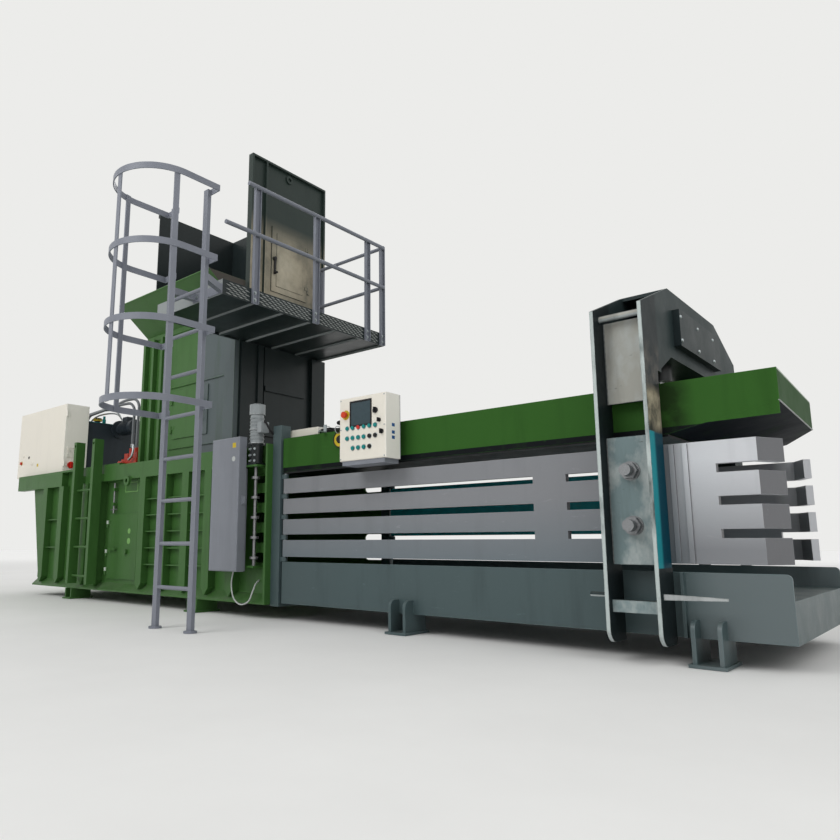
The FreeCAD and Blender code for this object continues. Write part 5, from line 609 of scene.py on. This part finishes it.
class Piece:
    """One new piece of the object. Its lengths are millimetres: X from the flange between body and
    channel, Y from the channel's middle plane and Z from the floor."""

    def __init__(self):
        self.form = bmesh.new()

    def box(self, low, high, edge=0.0):
        """A block between two corners, with its edges rounded by edge."""
        low, high = Vector(low), Vector(high)
        place = Matrix.Translation((low + high) / 2) @ Matrix.Diagonal((*(high - low), 1))
        made = set(bmesh.ops.create_cube(self.form, size=1, matrix=place)["verts"])
        if edge:
            lines = [line for line in self.form.edges if made.issuperset(line.verts)]
            bmesh.ops.bevel(self.form, geom=lines, offset=edge, segments=2, affect="EDGES")
        return self

    def field(self, low, high, face, thick, edge=0.0):
        """A flat rectangle on a near face, between two corners of X and Z."""
        return self.box((low[0], face - thick, low[1]), (high[0], face, high[1]), edge)

    def border(self, low, high, rim, face, thick, edge=0.0):
        """The four sides of a flat frame on a near face. low and high are its outer corners."""
        (left, foot), (right, top) = low, high
        self.field((left, foot), (right, foot + rim), face, thick, edge)
        self.field((left, top - rim), (right, top), face, thick, edge)
        self.field((left, foot + rim), (left + rim, top - rim), face, thick, edge)
        return self.field((right - rim, foot + rim), (right, top - rim), face, thick, edge)

    def rod(self, start, end, radius, tip=None, sides=24):
        """A round bar, which tapers where a tip radius is given."""
        start, end = Vector(start), Vector(end)
        way = end - start
        turn = way.to_track_quat("Z", "Y").to_matrix().to_4x4()
        bmesh.ops.create_cone(self.form, cap_ends=True, segments=sides, radius1=radius,
                              radius2=radius if tip is None else tip, depth=way.length,
                              matrix=Matrix.Translation((start + end) / 2) @ turn)
        return self

    def disc(self, place, face, thick, radius, foot=None, sides=40):
        """A round form on a near face at a place of X and Z, wider at its foot if that is given."""
        x, z = place
        return self.rod((x, face - thick, z), (x, face, z), radius, foot, sides)

    def tube(self, path, radius, sides=10, closed=False):
        """A round wire, hose or bead along a list of points."""
        side, rings = None, []
        last = len(path) - 1
        for i, point in enumerate(path):
            ahead, behind = (i + 1, i - 1) if closed else (min(i + 1, last), max(i - 1, 0))
            way = (path[ahead % len(path)] - path[behind]).normalized()
            side = way.orthogonal() if side is None else side
            side = (side - way * side.dot(way)).normalized()
            up = way.cross(side)
            rings.append([self.form.verts.new(
                point + radius * (math.cos(turn) * side + math.sin(turn) * up))
                for turn in (math.tau * k / sides for k in range(sides))])
        for first, second in zip(rings, rings[1:] + (rings[:1] if closed else [])):
            for k in range(sides):
                self.form.faces.new((first[k], first[(k + 1) % sides],
                                     second[(k + 1) % sides], second[k]))
        if not closed:
            self.form.faces.new(rings[0][::-1])
            self.form.faces.new(rings[-1])
        return self

    def ring(self, centre, along, radius, wire, sides=32):
        """A wire bent to a circle about an axis."""
        way = Vector(along)
        side = way.orthogonal().normalized()
        up = way.cross(side)
        turns = (math.tau * k / sides for k in range(sides))
        return self.tube([Vector(centre) + radius * (math.cos(t) * side + math.sin(t) * up)
                          for t in turns], wire, 8, closed=True)

    def plate(self, outline, level, thick):
        """A flat plate in an X plane, from an outline of Y and Z."""
        return self.prism([(level, y, z) for y, z in outline],
                          [(level + thick, y, z) for y, z in outline])

    def wedge(self, outline, near, far):
        """A flat plate in a Y plane, from an outline of X and Z."""
        return self.prism([(x, near, z) for x, z in outline], [(x, far, z) for x, z in outline])

    def prism(self, back, front):
        """The solid between two like outlines."""
        back, front = ([self.form.verts.new(corner) for corner in ring] for ring in (back, front))
        self.form.faces.new(back[::-1])
        self.form.faces.new(front)
        for k in range(len(back)):
            self.form.faces.new((back[k], back[(k + 1) % len(back)],
                                 front[(k + 1) % len(front)], front[k]))
        return self

    def bolt(self, place, way, flats):
        """A hexagon head on its washer, with the bolt's round end on it. All its sizes follow the
        width across the flats."""
        place, way = Vector(place), Vector(way)
        washer = place + way * flats / 7
        head = washer + way * flats / 2
        self.rod(place, washer, flats * 0.85, sides=20)
        self.rod(washer, head, flats / math.sqrt(3), sides=6)
        return self.rod(head, head + way * flats / 8, flats * 0.36, flats * 0.28, 12)

    def done(self, name, material, body, slot=None):
        """Turn the form into an object that rides on a body of the part."""
        bmesh.ops.recalc_face_normals(self.form, faces=self.form.faces)
        self.form.transform(Matrix.Translation(ORIGIN) @ Matrix.Scale(MILLIMETRE, 4))
        mesh = bpy.data.meshes.new(name)
        self.form.to_mesh(mesh)
        self.form.free()
        mesh.materials.append(material)
        for face in mesh.polygons:
            face.use_smooth = True
        mesh.set_sharp_from_angle(angle=SHARP_FROM)
        made = bpy.data.objects.new(name, mesh)
        bpy.context.collection.objects.link(made)
        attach(made, body)


# ---- Control panel -----------------------------------------------------------------------------

PANEL_FACE = -910               # the panel's front
PANEL_LOW = (840, 1140)         # its corners in X and Z
PANEL_HIGH = (1260, 1580)
KEY_FIRST = (915, 1225)         # the first column's lowest key
KEY_PITCH = (51, 70)
KEY_RADIUS = 13
CAP_RADIUS = KEY_RADIUS + 0.4
CAP_RIM, CAP_TOP = 11, 13       # how far a cap's side and its top stand out
# Columns and rows of the keys that move, which are nodes of the CAD, and of the caps added here
MOVING_KEYS = ((0, 2), (2, 2), (3, 2), (1, 0))
KEY_CAPS = {"teal": ((1, 2), (4, 2), (5, 2), (0, 1), (1, 1), (2, 1), (3, 1), (2, 0), (3, 0)),
            "black": ((4, 1), (5, 1), (4, 0))}
SCREEN_LOW = (950, 1382)
SCREEN_HIGH = (1126, 1540)
BEZEL_WIDTH = 12
STOP_AT = (900, 1462)
SCREW_INSET = 13
SIDE_FIELDS = (1365, 1315, 1280)    # the heights of the flank's fields
SIDE_FIELD_HALF = 11


def key_spot(column, row):
    """X and Z of one key of the panel's grid."""
    return (KEY_FIRST[0] + KEY_PITCH[0] * column, KEY_FIRST[1] + KEY_PITCH[1] * row)


def control_panel():
    """Key caps and collars, the screen's bezel, the stop's yellow disc, side fields, screws and
    the cable's gland."""
    for colour, spots in KEY_CAPS.items():
        caps = Piece()
        for x, z in (key_spot(*spot) for spot in spots):
            caps.rod((x, PANEL_FACE, z), (x, PANEL_FACE - CAP_RIM, z), CAP_RADIUS)
            caps.rod((x, PANEL_FACE - CAP_RIM, z), (x, PANEL_FACE - CAP_TOP, z), CAP_RADIUS,
                     KEY_RADIUS - 2)
        caps.done(f"{colour}_key_caps", TEAL_CAP if colour == "teal" else BLACK, "beam",
                  f"{colour}_plastic")
    collars = Piece()
    for x, z in (key_spot(*spot) for spot in KEY_CAPS["teal"] + KEY_CAPS["black"] + MOVING_KEYS):
        collars.ring((x, PANEL_FACE, z), (0, 1, 0), KEY_RADIUS + 3.5, wire=2.2, sides=24)
    collars.done("key_collars", ZINC, "beam", "pin_steel")
    bezel = Piece().border([side - BEZEL_WIDTH for side in SCREEN_LOW],
                           [side + BEZEL_WIDTH for side in SCREEN_HIGH],
                           BEZEL_WIDTH, PANEL_FACE, thick=5, edge=1.5)
    bezel.done("screen_bezel", BLACK, "beam", "black_plastic")
    stop = Piece().disc(STOP_AT, PANEL_FACE, thick=1, radius=34)
    stop.done("stop_disc", YELLOW, "beam")
    fields = Piece()
    for middle in SIDE_FIELDS:
        fields.box((PANEL_HIGH[0], -846, middle - SIDE_FIELD_HALF),
                   (PANEL_HIGH[0] + FIELD_THICK, -816, middle + SIDE_FIELD_HALF))
    fields.done("panel_side_fields", BLUE_FIELD, "beam")
    screws = Piece()
    for x in (PANEL_LOW[0] + SCREW_INSET, PANEL_HIGH[0] - SCREW_INSET):
        for z in (PANEL_LOW[1] + SCREW_INSET, (PANEL_LOW[1] + PANEL_HIGH[1]) / 2,
                  PANEL_HIGH[1] - SCREW_INSET):
            screws.disc((x, z), PANEL_FACE, thick=2.5, radius=4, foot=5.5, sides=16)
    screws.done("panel_screws", ZINC, "beam", "pin_steel")
    gland = Piece().rod((822, -830, 1442), (PANEL_LOW[0], -830, 1442), radius=24, sides=6)
    gland.rod((800, -830, 1442), (822, -830, 1442), radius=17, tip=20)
    gland.done("panel_gland", BLACK, "beam", "black_plastic")


# ---- Top beam ----------------------------------------------------------------------------------

BEAM_SIDE = -690                # the beam's near face
LAMP_AT = (650, 1340)
LAMP_DEPTH = 22
LAMP_RADIUS = 58
BUNDLE_LAYS = ((0, 0), (14, 26), (26, 10))      # how far each cable sags and leans out
BEAM_TIP = 3488                 # the beam's end at the outlet


def beam_fittings():
    """The round lamp and the cable bundle on the beam's near side."""
    lens = Piece().disc(LAMP_AT, BEAM_SIDE, LAMP_DEPTH, LAMP_RADIUS, foot=62)
    lens.done("beacon_disc", YELLOW, "beam")
    x, z = LAMP_AT
    hub = Piece().disc(LAMP_AT, BEAM_SIDE - LAMP_DEPTH, thick=10, radius=24, foot=30, sides=24)
    hub.ring((x, BEAM_SIDE - LAMP_DEPTH - 1, z), (0, 1, 0), LAMP_RADIUS, wire=4)
    hub.done("beacon_hub", BLACK, "beam", "black_plastic")
    runs = Piece()
    for sag, lean in BUNDLE_LAYS:
        runs.tube(smooth_path([(303, -552 - lean, 1468 - sag), (420, -590 - lean, 1462 - sag),
                               (560, -650 - lean, 1436 - sag), (700, -740 - lean, 1418 - sag),
                               (800, -815, 1430 - sag / 2), (842, -835, 1442)]), radius=7)
    runs.done("beam_cable_bundle", RUBBER, "beam", "hose_rubber")
    ties = Piece()
    for place in ((430, -606, 1447), (640, -712, 1412)):
        ties.ring(place, (1, -0.5, 0), radius=26, wire=3, sides=20)
    ties.done("cable_ties", PALE_FIELD, "beam")
    bracket = Piece().box((470, -700, 1410), (500, BEAM_SIDE, 1470), edge=2)
    bracket.box((470, -760, 1410), (500, -700, 1416), edge=1)
    bracket.done("cable_bracket", ZINC, "beam", "pin_steel")


def beam_skirt():
    """The beam's near side plate runs on below the sloped underside, with a pale line along
    the lower edge of the beam's end, a painted highlight."""
    skirt = Piece().wedge([(3156, 1179), (BEAM_TIP, 1186), (BEAM_TIP, 1252)],
                          BEAM_SIDE, BEAM_SIDE + 8)
    skirt.done("beam_skirt", BEAM_PAINT, "beam", "green_paint")
    # The pale line along the end's lower edge is a painted highlight.
    edge = bead_path((BEAM_TIP, BEAM_SIDE, 1251), (3449, 400, 1243), step=40, wave=0)
    rim = Piece().tube(edge, radius=3.5, sides=6)
    rim.done("beam_end_highlight", LATTICE, "beam", "ladder_grey_paint")


# ---- Tying unit --------------------------------------------------------------------------------

MOTOR_AXIS = Vector((-250, -750, 0))
GEARBOX_BOLT_TURNS = (-125, -90, -55)           # degrees about the motor's axis
GEARBOX_BOLT_HEIGHTS = (1243, 1290, 1340)
GEARBOX_RADIUS = 54
MOTOR_BANDS = ((1388, 64), (1500, 62), (1628, 62))      # height and radius of each
MOTOR_TOP = 1706
COVER_FACE = -890               # the tying cover's front


def tying_fittings():
    """The gear motor's bolts and silver parts, its cable, the loop below the cover and the
    cover's fields."""
    bolts = Piece()
    for turn in map(math.radians, GEARBOX_BOLT_TURNS):
        way = Vector((math.cos(turn), math.sin(turn), 0))
        for z in GEARBOX_BOLT_HEIGHTS:
            place = MOTOR_AXIS + way * GEARBOX_RADIUS + Vector((0, 0, z))
            bolts.rod(place, place + way * 9, radius=10, sides=6)
    bolts.done("gearbox_bolts", ZINC, "base", "pin_steel")
    bands = Piece()
    for z, radius in MOTOR_BANDS:
        bands.ring(MOTOR_AXIS + Vector((0, 0, z)), (0, 0, 1), radius, wire=4)
    top = MOTOR_AXIS + Vector((0, 0, MOTOR_TOP))
    bands.rod(top, top + Vector((0, 0, 16)), radius=42, tip=30)
    bands.done("motor_bands", SILVER, "base")
    cable = smooth_path([(-148, -755, 1560), (-120, -760, 1540), (-100, -720, 1470),
                         (-104, -620, 1425), (-98, -540, 1440), (-88, -520, 1445)])
    Piece().tube(cable, radius=9).done("motor_cable", RUBBER, "base", "hose_rubber")
    loop = smooth_path([(-440, -800, 366), (-462, -800, 260), (-430, -800, 150),
                        (-343, -800, 104), (-250, -796, 130), (-222, -780, 200),
                        (-232, -740, 262), (-250, -688, 290)])
    Piece().tube(loop, radius=6).done("sensor_cable_loop", PALE_FIELD, "base")
    label = Piece().field((-384, 1352), (-342, 1392), COVER_FACE, FIELD_THICK)
    label.done("cover_yellow_field", YELLOW, "cover_leaf")
    spot = Piece().disc((-367, 1261), COVER_FACE, FIELD_THICK, radius=21)
    spot.done("cover_pale_field", PALE_FIELD, "cover_leaf")


# ---- Platform ----------------------------------------------------------------------------------

RAIL_POSTS = (-1085, -424, 240, 452)    # Y of the guard rail's front posts
BOARD_FACE = 80                         # the front toe board's outer side
BOARD_NEAR, BOARD_FAR = -1390, 490
BOARD_LOW, BOARD_HIGH = 2420, 2540
POST_HALF = 30                          # half the width that a post's foot covers
LOZENGE_PITCH = (58, 17)
LOZENGE_HALF = (27, 4.5)
LOZENGE_RISE = 2.5


def toe_board():
    """Slanting rows of raised lozenges on the platform's front edge, and the posts' bolts."""
    lattice = Piece()
    rows = int((BOARD_HIGH - BOARD_LOW) / LOZENGE_PITCH[1]) - 1
    count = int((BOARD_FAR - BOARD_NEAR) / LOZENGE_PITCH[0]) - 1
    long, tall = LOZENGE_HALF
    for row in range(rows):
        z = BOARD_LOW + (row + 1) * LOZENGE_PITCH[1]
        for k in range(count):
            y = BOARD_NEAR + (k + 1 + 0.5 * (row % 2)) * LOZENGE_PITCH[0]
            if any(abs(y - post) < POST_HALF + long for post in RAIL_POSTS):
                continue
            lattice.plate([(y - long, z + tall), (y, z + tall), (y + long, z - tall),
                           (y, z - tall)], BOARD_FACE, LOZENGE_RISE)
    lattice.done("toe_board_lattice", LATTICE, "base", "ladder_grey_paint")
    bolts = Piece()
    for post in RAIL_POSTS:
        for z in (2452, 2508):
            bolts.bolt((BOARD_FACE + 5, post, z), (1, 0, 0), flats=18)
    for x in (-268, -232, 18, 54):
        bolts.bolt((x, -1398, 2465), (0, -1, 0), flats=16)
    bolts.done("platform_bolts", ZINC, "base", "pin_steel")


# ---- Cabinet, hydraulic unit and body ----------------------------------------------------------

CABINET_FACE = -690             # the near faces of the cabinet's door, of the body's side
BODY_FACE = -690                # and of the access door
DOOR_FACE = -702
CAP_AT = Vector((-4020, -195, 0))
CAP_LOW, CAP_HIGH = 2088, 2127  # heights of the filler cap
CAP_RIBS = 12
TANK_TOP = 2040


def press_fittings():
    """What the cabinet, the hydraulic unit and the body carry."""
    cabinet_fittings()
    tank_fittings()
    pipe_runs()
    body_fields()


def cabinet_fittings():
    """The stop's yellow disc, a plain field and the lock's rose on the cabinet door."""
    stop = Piece().disc((-4960, 1585), CABINET_FACE, thick=0.3, radius=26)
    stop.done("cabinet_stop_disc", YELLOW, "cabinet_leaf")
    label = Piece().field((-4519, 1513), (-4475, 1549), CABINET_FACE, FIELD_THICK)
    label.done("cabinet_yellow_field", YELLOW, "cabinet_leaf")
    rose = Piece().disc((-4757, 1645), CABINET_FACE, thick=4, radius=15, foot=18, sides=24)
    rose.done("cabinet_lock_rose", BLACK, "cabinet_leaf", "black_plastic")


def tank_fittings():
    """The ribbed filler cap, a fitting and the line round the tank's top."""
    cap = Piece().rod(CAP_AT + Vector((0, 0, CAP_LOW)), CAP_AT + Vector((0, 0, CAP_HIGH)),
                      radius=50, tip=46, sides=32)
    for k in range(CAP_RIBS):
        turn = math.tau * k / CAP_RIBS
        rib = CAP_AT + Vector((math.cos(turn), math.sin(turn), 0)) * 49
        cap.rod(rib + Vector((0, 0, CAP_LOW + 4)), rib + Vector((0, 0, CAP_HIGH - 5)),
                radius=4, sides=8)
    cap.done("filler_cap", YELLOW, "base")
    fitting = Piece().rod((-3905, -170, 2057), (-3905, -170, 2100), radius=24, sides=6)
    fitting.rod((-3905, -170, 2100), (-3905, -170, 2140), radius=15)
    fitting.done("tank_fitting", TEAL_CAP, "base", "teal_plastic")
    seam = Piece().box((-4764, -399, TANK_TOP), (-3846, -395, TANK_TOP + 6), edge=1)
    seam.box((-3850, -399, TANK_TOP), (-3846, 299, TANK_TOP + 6), edge=1)
    seam.done("tank_top_line", TEAL_CAP, "base", "teal_plastic")


def pipe_runs():
    """Two steel pipes over the tank, the second outside and above the first, and the bend at
    the valves."""
    pipes = Piece()
    for lift in (0, 34):
        pipes.tube(smooth_path([(-4330, -120 - lift, 2057), (-4320, -125 - lift, 2130 + lift),
                                (-4100, -150 - lift, 2172 + lift),
                                (-3880, -120 - lift, 2180 + lift),
                                (-3760, -70 - lift / 2, 2160 + lift), (-3720, -30, 2090),
                                (-3720, -10, 2060)]), radius=10)
    pipes.done("steel_pipes", SILVER, "base")
    bend = smooth_path([(-2935, -330, 1650), (-2930, -338, 1672), (-2890, -345, 1664),
                        (-2868, -350, 1610), (-2880, -360, 1540), (-2920, -372, 1500)])
    Piece().tube(bend, radius=13).done("valve_pipe_bend", SILVER, "base")


def body_fields():
    """The green outline beside the access door, and the door's two round fields."""
    outline = Piece().border((-2381, 1095), (-2145, 1195), 7, BODY_FACE, thick=1.2)
    outline.done("side_field_outline", GREEN_FIELD, "base")
    for name, z, radius in (("door_field_high", 704, 26), ("door_field_low", 605, 30)):
        spot = Piece().disc((-2248, z), DOOR_FACE, FIELD_THICK, radius)
        spot.done(name, GREEN_FIELD, "access_leaf")


# ---- Portal ------------------------------------------------------------------------------------

PLAQUE_FACE = 2990
PLAQUE_SCREWS = ((-377, -65, 240), (1708, 1846))        # their places in Y and in Z
SEAM_PLACES = (2696.5, 2929.5)                          # X where a web meets the plates
SEAMS = ((805, 478, 1127), (760, 1321, 1767))           # each seam's Y, foot and top


def portal_fittings():
    """The plaque's screws and the weld beads of the portal's webs."""
    screws = Piece()
    for y in PLAQUE_SCREWS[0]:
        for z in PLAQUE_SCREWS[1]:
            screws.rod((PLAQUE_FACE, y, z), (PLAQUE_FACE + 6, y, z), radius=12, tip=8, sides=20)
    screws.done("plaque_screws", ZINC, "base", "pin_steel")
    beads = Piece()
    for side in (-1, 1):
        for x in SEAM_PLACES:
            for y, low, high in SEAMS:
                seam = bead_path((x, side * y, low), (x, side * y, high))
                beads.tube(seam, radius=4.5, sides=6)
    beads.done("portal_weld_beads", WELD, "base")


# ---- Room, lamps and camera --------------------------------------------------------------------

# The camera stands where the photograph's own perspective puts it.
CAMERA_AT = (4.940, -3.738, 0.580)
CAMERA_TURN = math.radians(41.57)
CAMERA_PITCH = math.radians(9.55)
CAMERA_LENS = 29.74
CAMERA_SHIFT = (0.0673, 0.0081)
CAMERA_REACH = 300
STUDIO = linear(236, 236, 234)
STUDIO_PALE = linear(242, 242, 240)
FLOOR_SIZE = 120
FLOOR_DROP = 0.002              # keeps the floor just below the feet
GLOW_FROM, GLOW_FULL = 5, 24    # distances from the machine between which the floor brightens
FLOOR_GLOW = 0.38
ROOM_LIGHT = 0.5
# Each lamp's name, place, the point it is turned to, width and power in watts
LAMPS = (("key_lamp", (0, -10, 9), (-0.5, 0, 1.5), 7, 600),
         ("fill_lamp", (9, -2, 6), (0, 0, 1.2), 6, 150),
         ("rim_lamp", (-6, 7, 9), (0, 0, 1.5), 6, 260))


def floor():
    """A plain pale floor, which brightens far from the machine as a studio's curved wall does."""
    surface = Surface("studio_floor", 0.8)
    reach = surface.add("ShaderNodeVectorMath", operation="LENGTH")
    surface.join(surface.place, reach.inputs[0])
    surface.shader.inputs["Emission Color"].default_value = (1, 1, 1, 1)
    surface.join(surface.between(reach.outputs["Value"], GLOW_FROM, GLOW_FULL, FLOOR_GLOW),
                 surface.shader.inputs["Emission Strength"])
    surface.colour(surface.mixed(surface.patches(0.8, 0.3, 0.7), STUDIO, STUDIO_PALE))
    bpy.ops.mesh.primitive_plane_add(size=FLOOR_SIZE, location=(0, 0, -FLOOR_DROP))
    plane = bpy.context.object
    plane.name = "studio_floor"
    plane.data.materials.append(surface.material)


def room():
    """An even light from all round, which the camera and reflections see as the pale studio."""
    world = bpy.data.worlds.new("studio")
    bpy.context.scene.world = world
    world.use_nodes = True
    tree = world.node_tree
    light = tree.nodes["Background"]
    light.inputs["Color"].default_value = (1, 1, 1, 1)
    light.inputs["Strength"].default_value = ROOM_LIGHT
    seen = tree.nodes.new("ShaderNodeBackground")
    seen.inputs["Color"].default_value = STUDIO
    paths = tree.nodes.new("ShaderNodeLightPath")
    either = tree.nodes.new("ShaderNodeMath")
    either.operation = "MAXIMUM"
    mix = tree.nodes.new("ShaderNodeMixShader")
    for source, target in ((paths.outputs["Is Camera Ray"], either.inputs[0]),
                           (paths.outputs["Is Glossy Ray"], either.inputs[1]),
                           (either.outputs[0], mix.inputs["Fac"]),
                           (light.outputs[0], mix.inputs[1]),
                           (seen.outputs[0], mix.inputs[2]),
                           (mix.outputs[0], tree.nodes["World Output"].inputs["Surface"])):
        tree.links.new(source, target)


def lamp(name, place, aim, width, power):
    """A square lamp turned towards a point."""
    data = bpy.data.lights.new(name, "AREA")
    data.shape = "SQUARE"
    data.size = width
    data.energy = power
    made = bpy.data.objects.new(name, data)
    bpy.context.collection.objects.link(made)
    made.location = place
    made.rotation_euler = (Vector(aim) - Vector(place)).to_track_quat("-Z", "Y").to_euler()


def camera():
    """The photograph's camera."""
    data = bpy.data.cameras.new("photo_camera")
    data.lens = CAMERA_LENS
    data.sensor_width = 36
    data.shift_x, data.shift_y = CAMERA_SHIFT
    data.clip_end = CAMERA_REACH
    eye = bpy.data.objects.new("photo_camera", data)
    bpy.context.collection.objects.link(eye)
    eye.location = CAMERA_AT
    eye.rotation_euler = (math.pi / 2 + CAMERA_PITCH, 0, CAMERA_TURN)
    bpy.context.scene.camera = eye


dress_nodes()
control_panel()
beam_fittings()
tying_fittings()
toe_board()
press_fittings()
portal_fittings()
beam_skirt()
floor()
room()
for settings in LAMPS:
    lamp(*settings)
camera()
bpy.context.scene.view_settings.view_transform = "Standard"
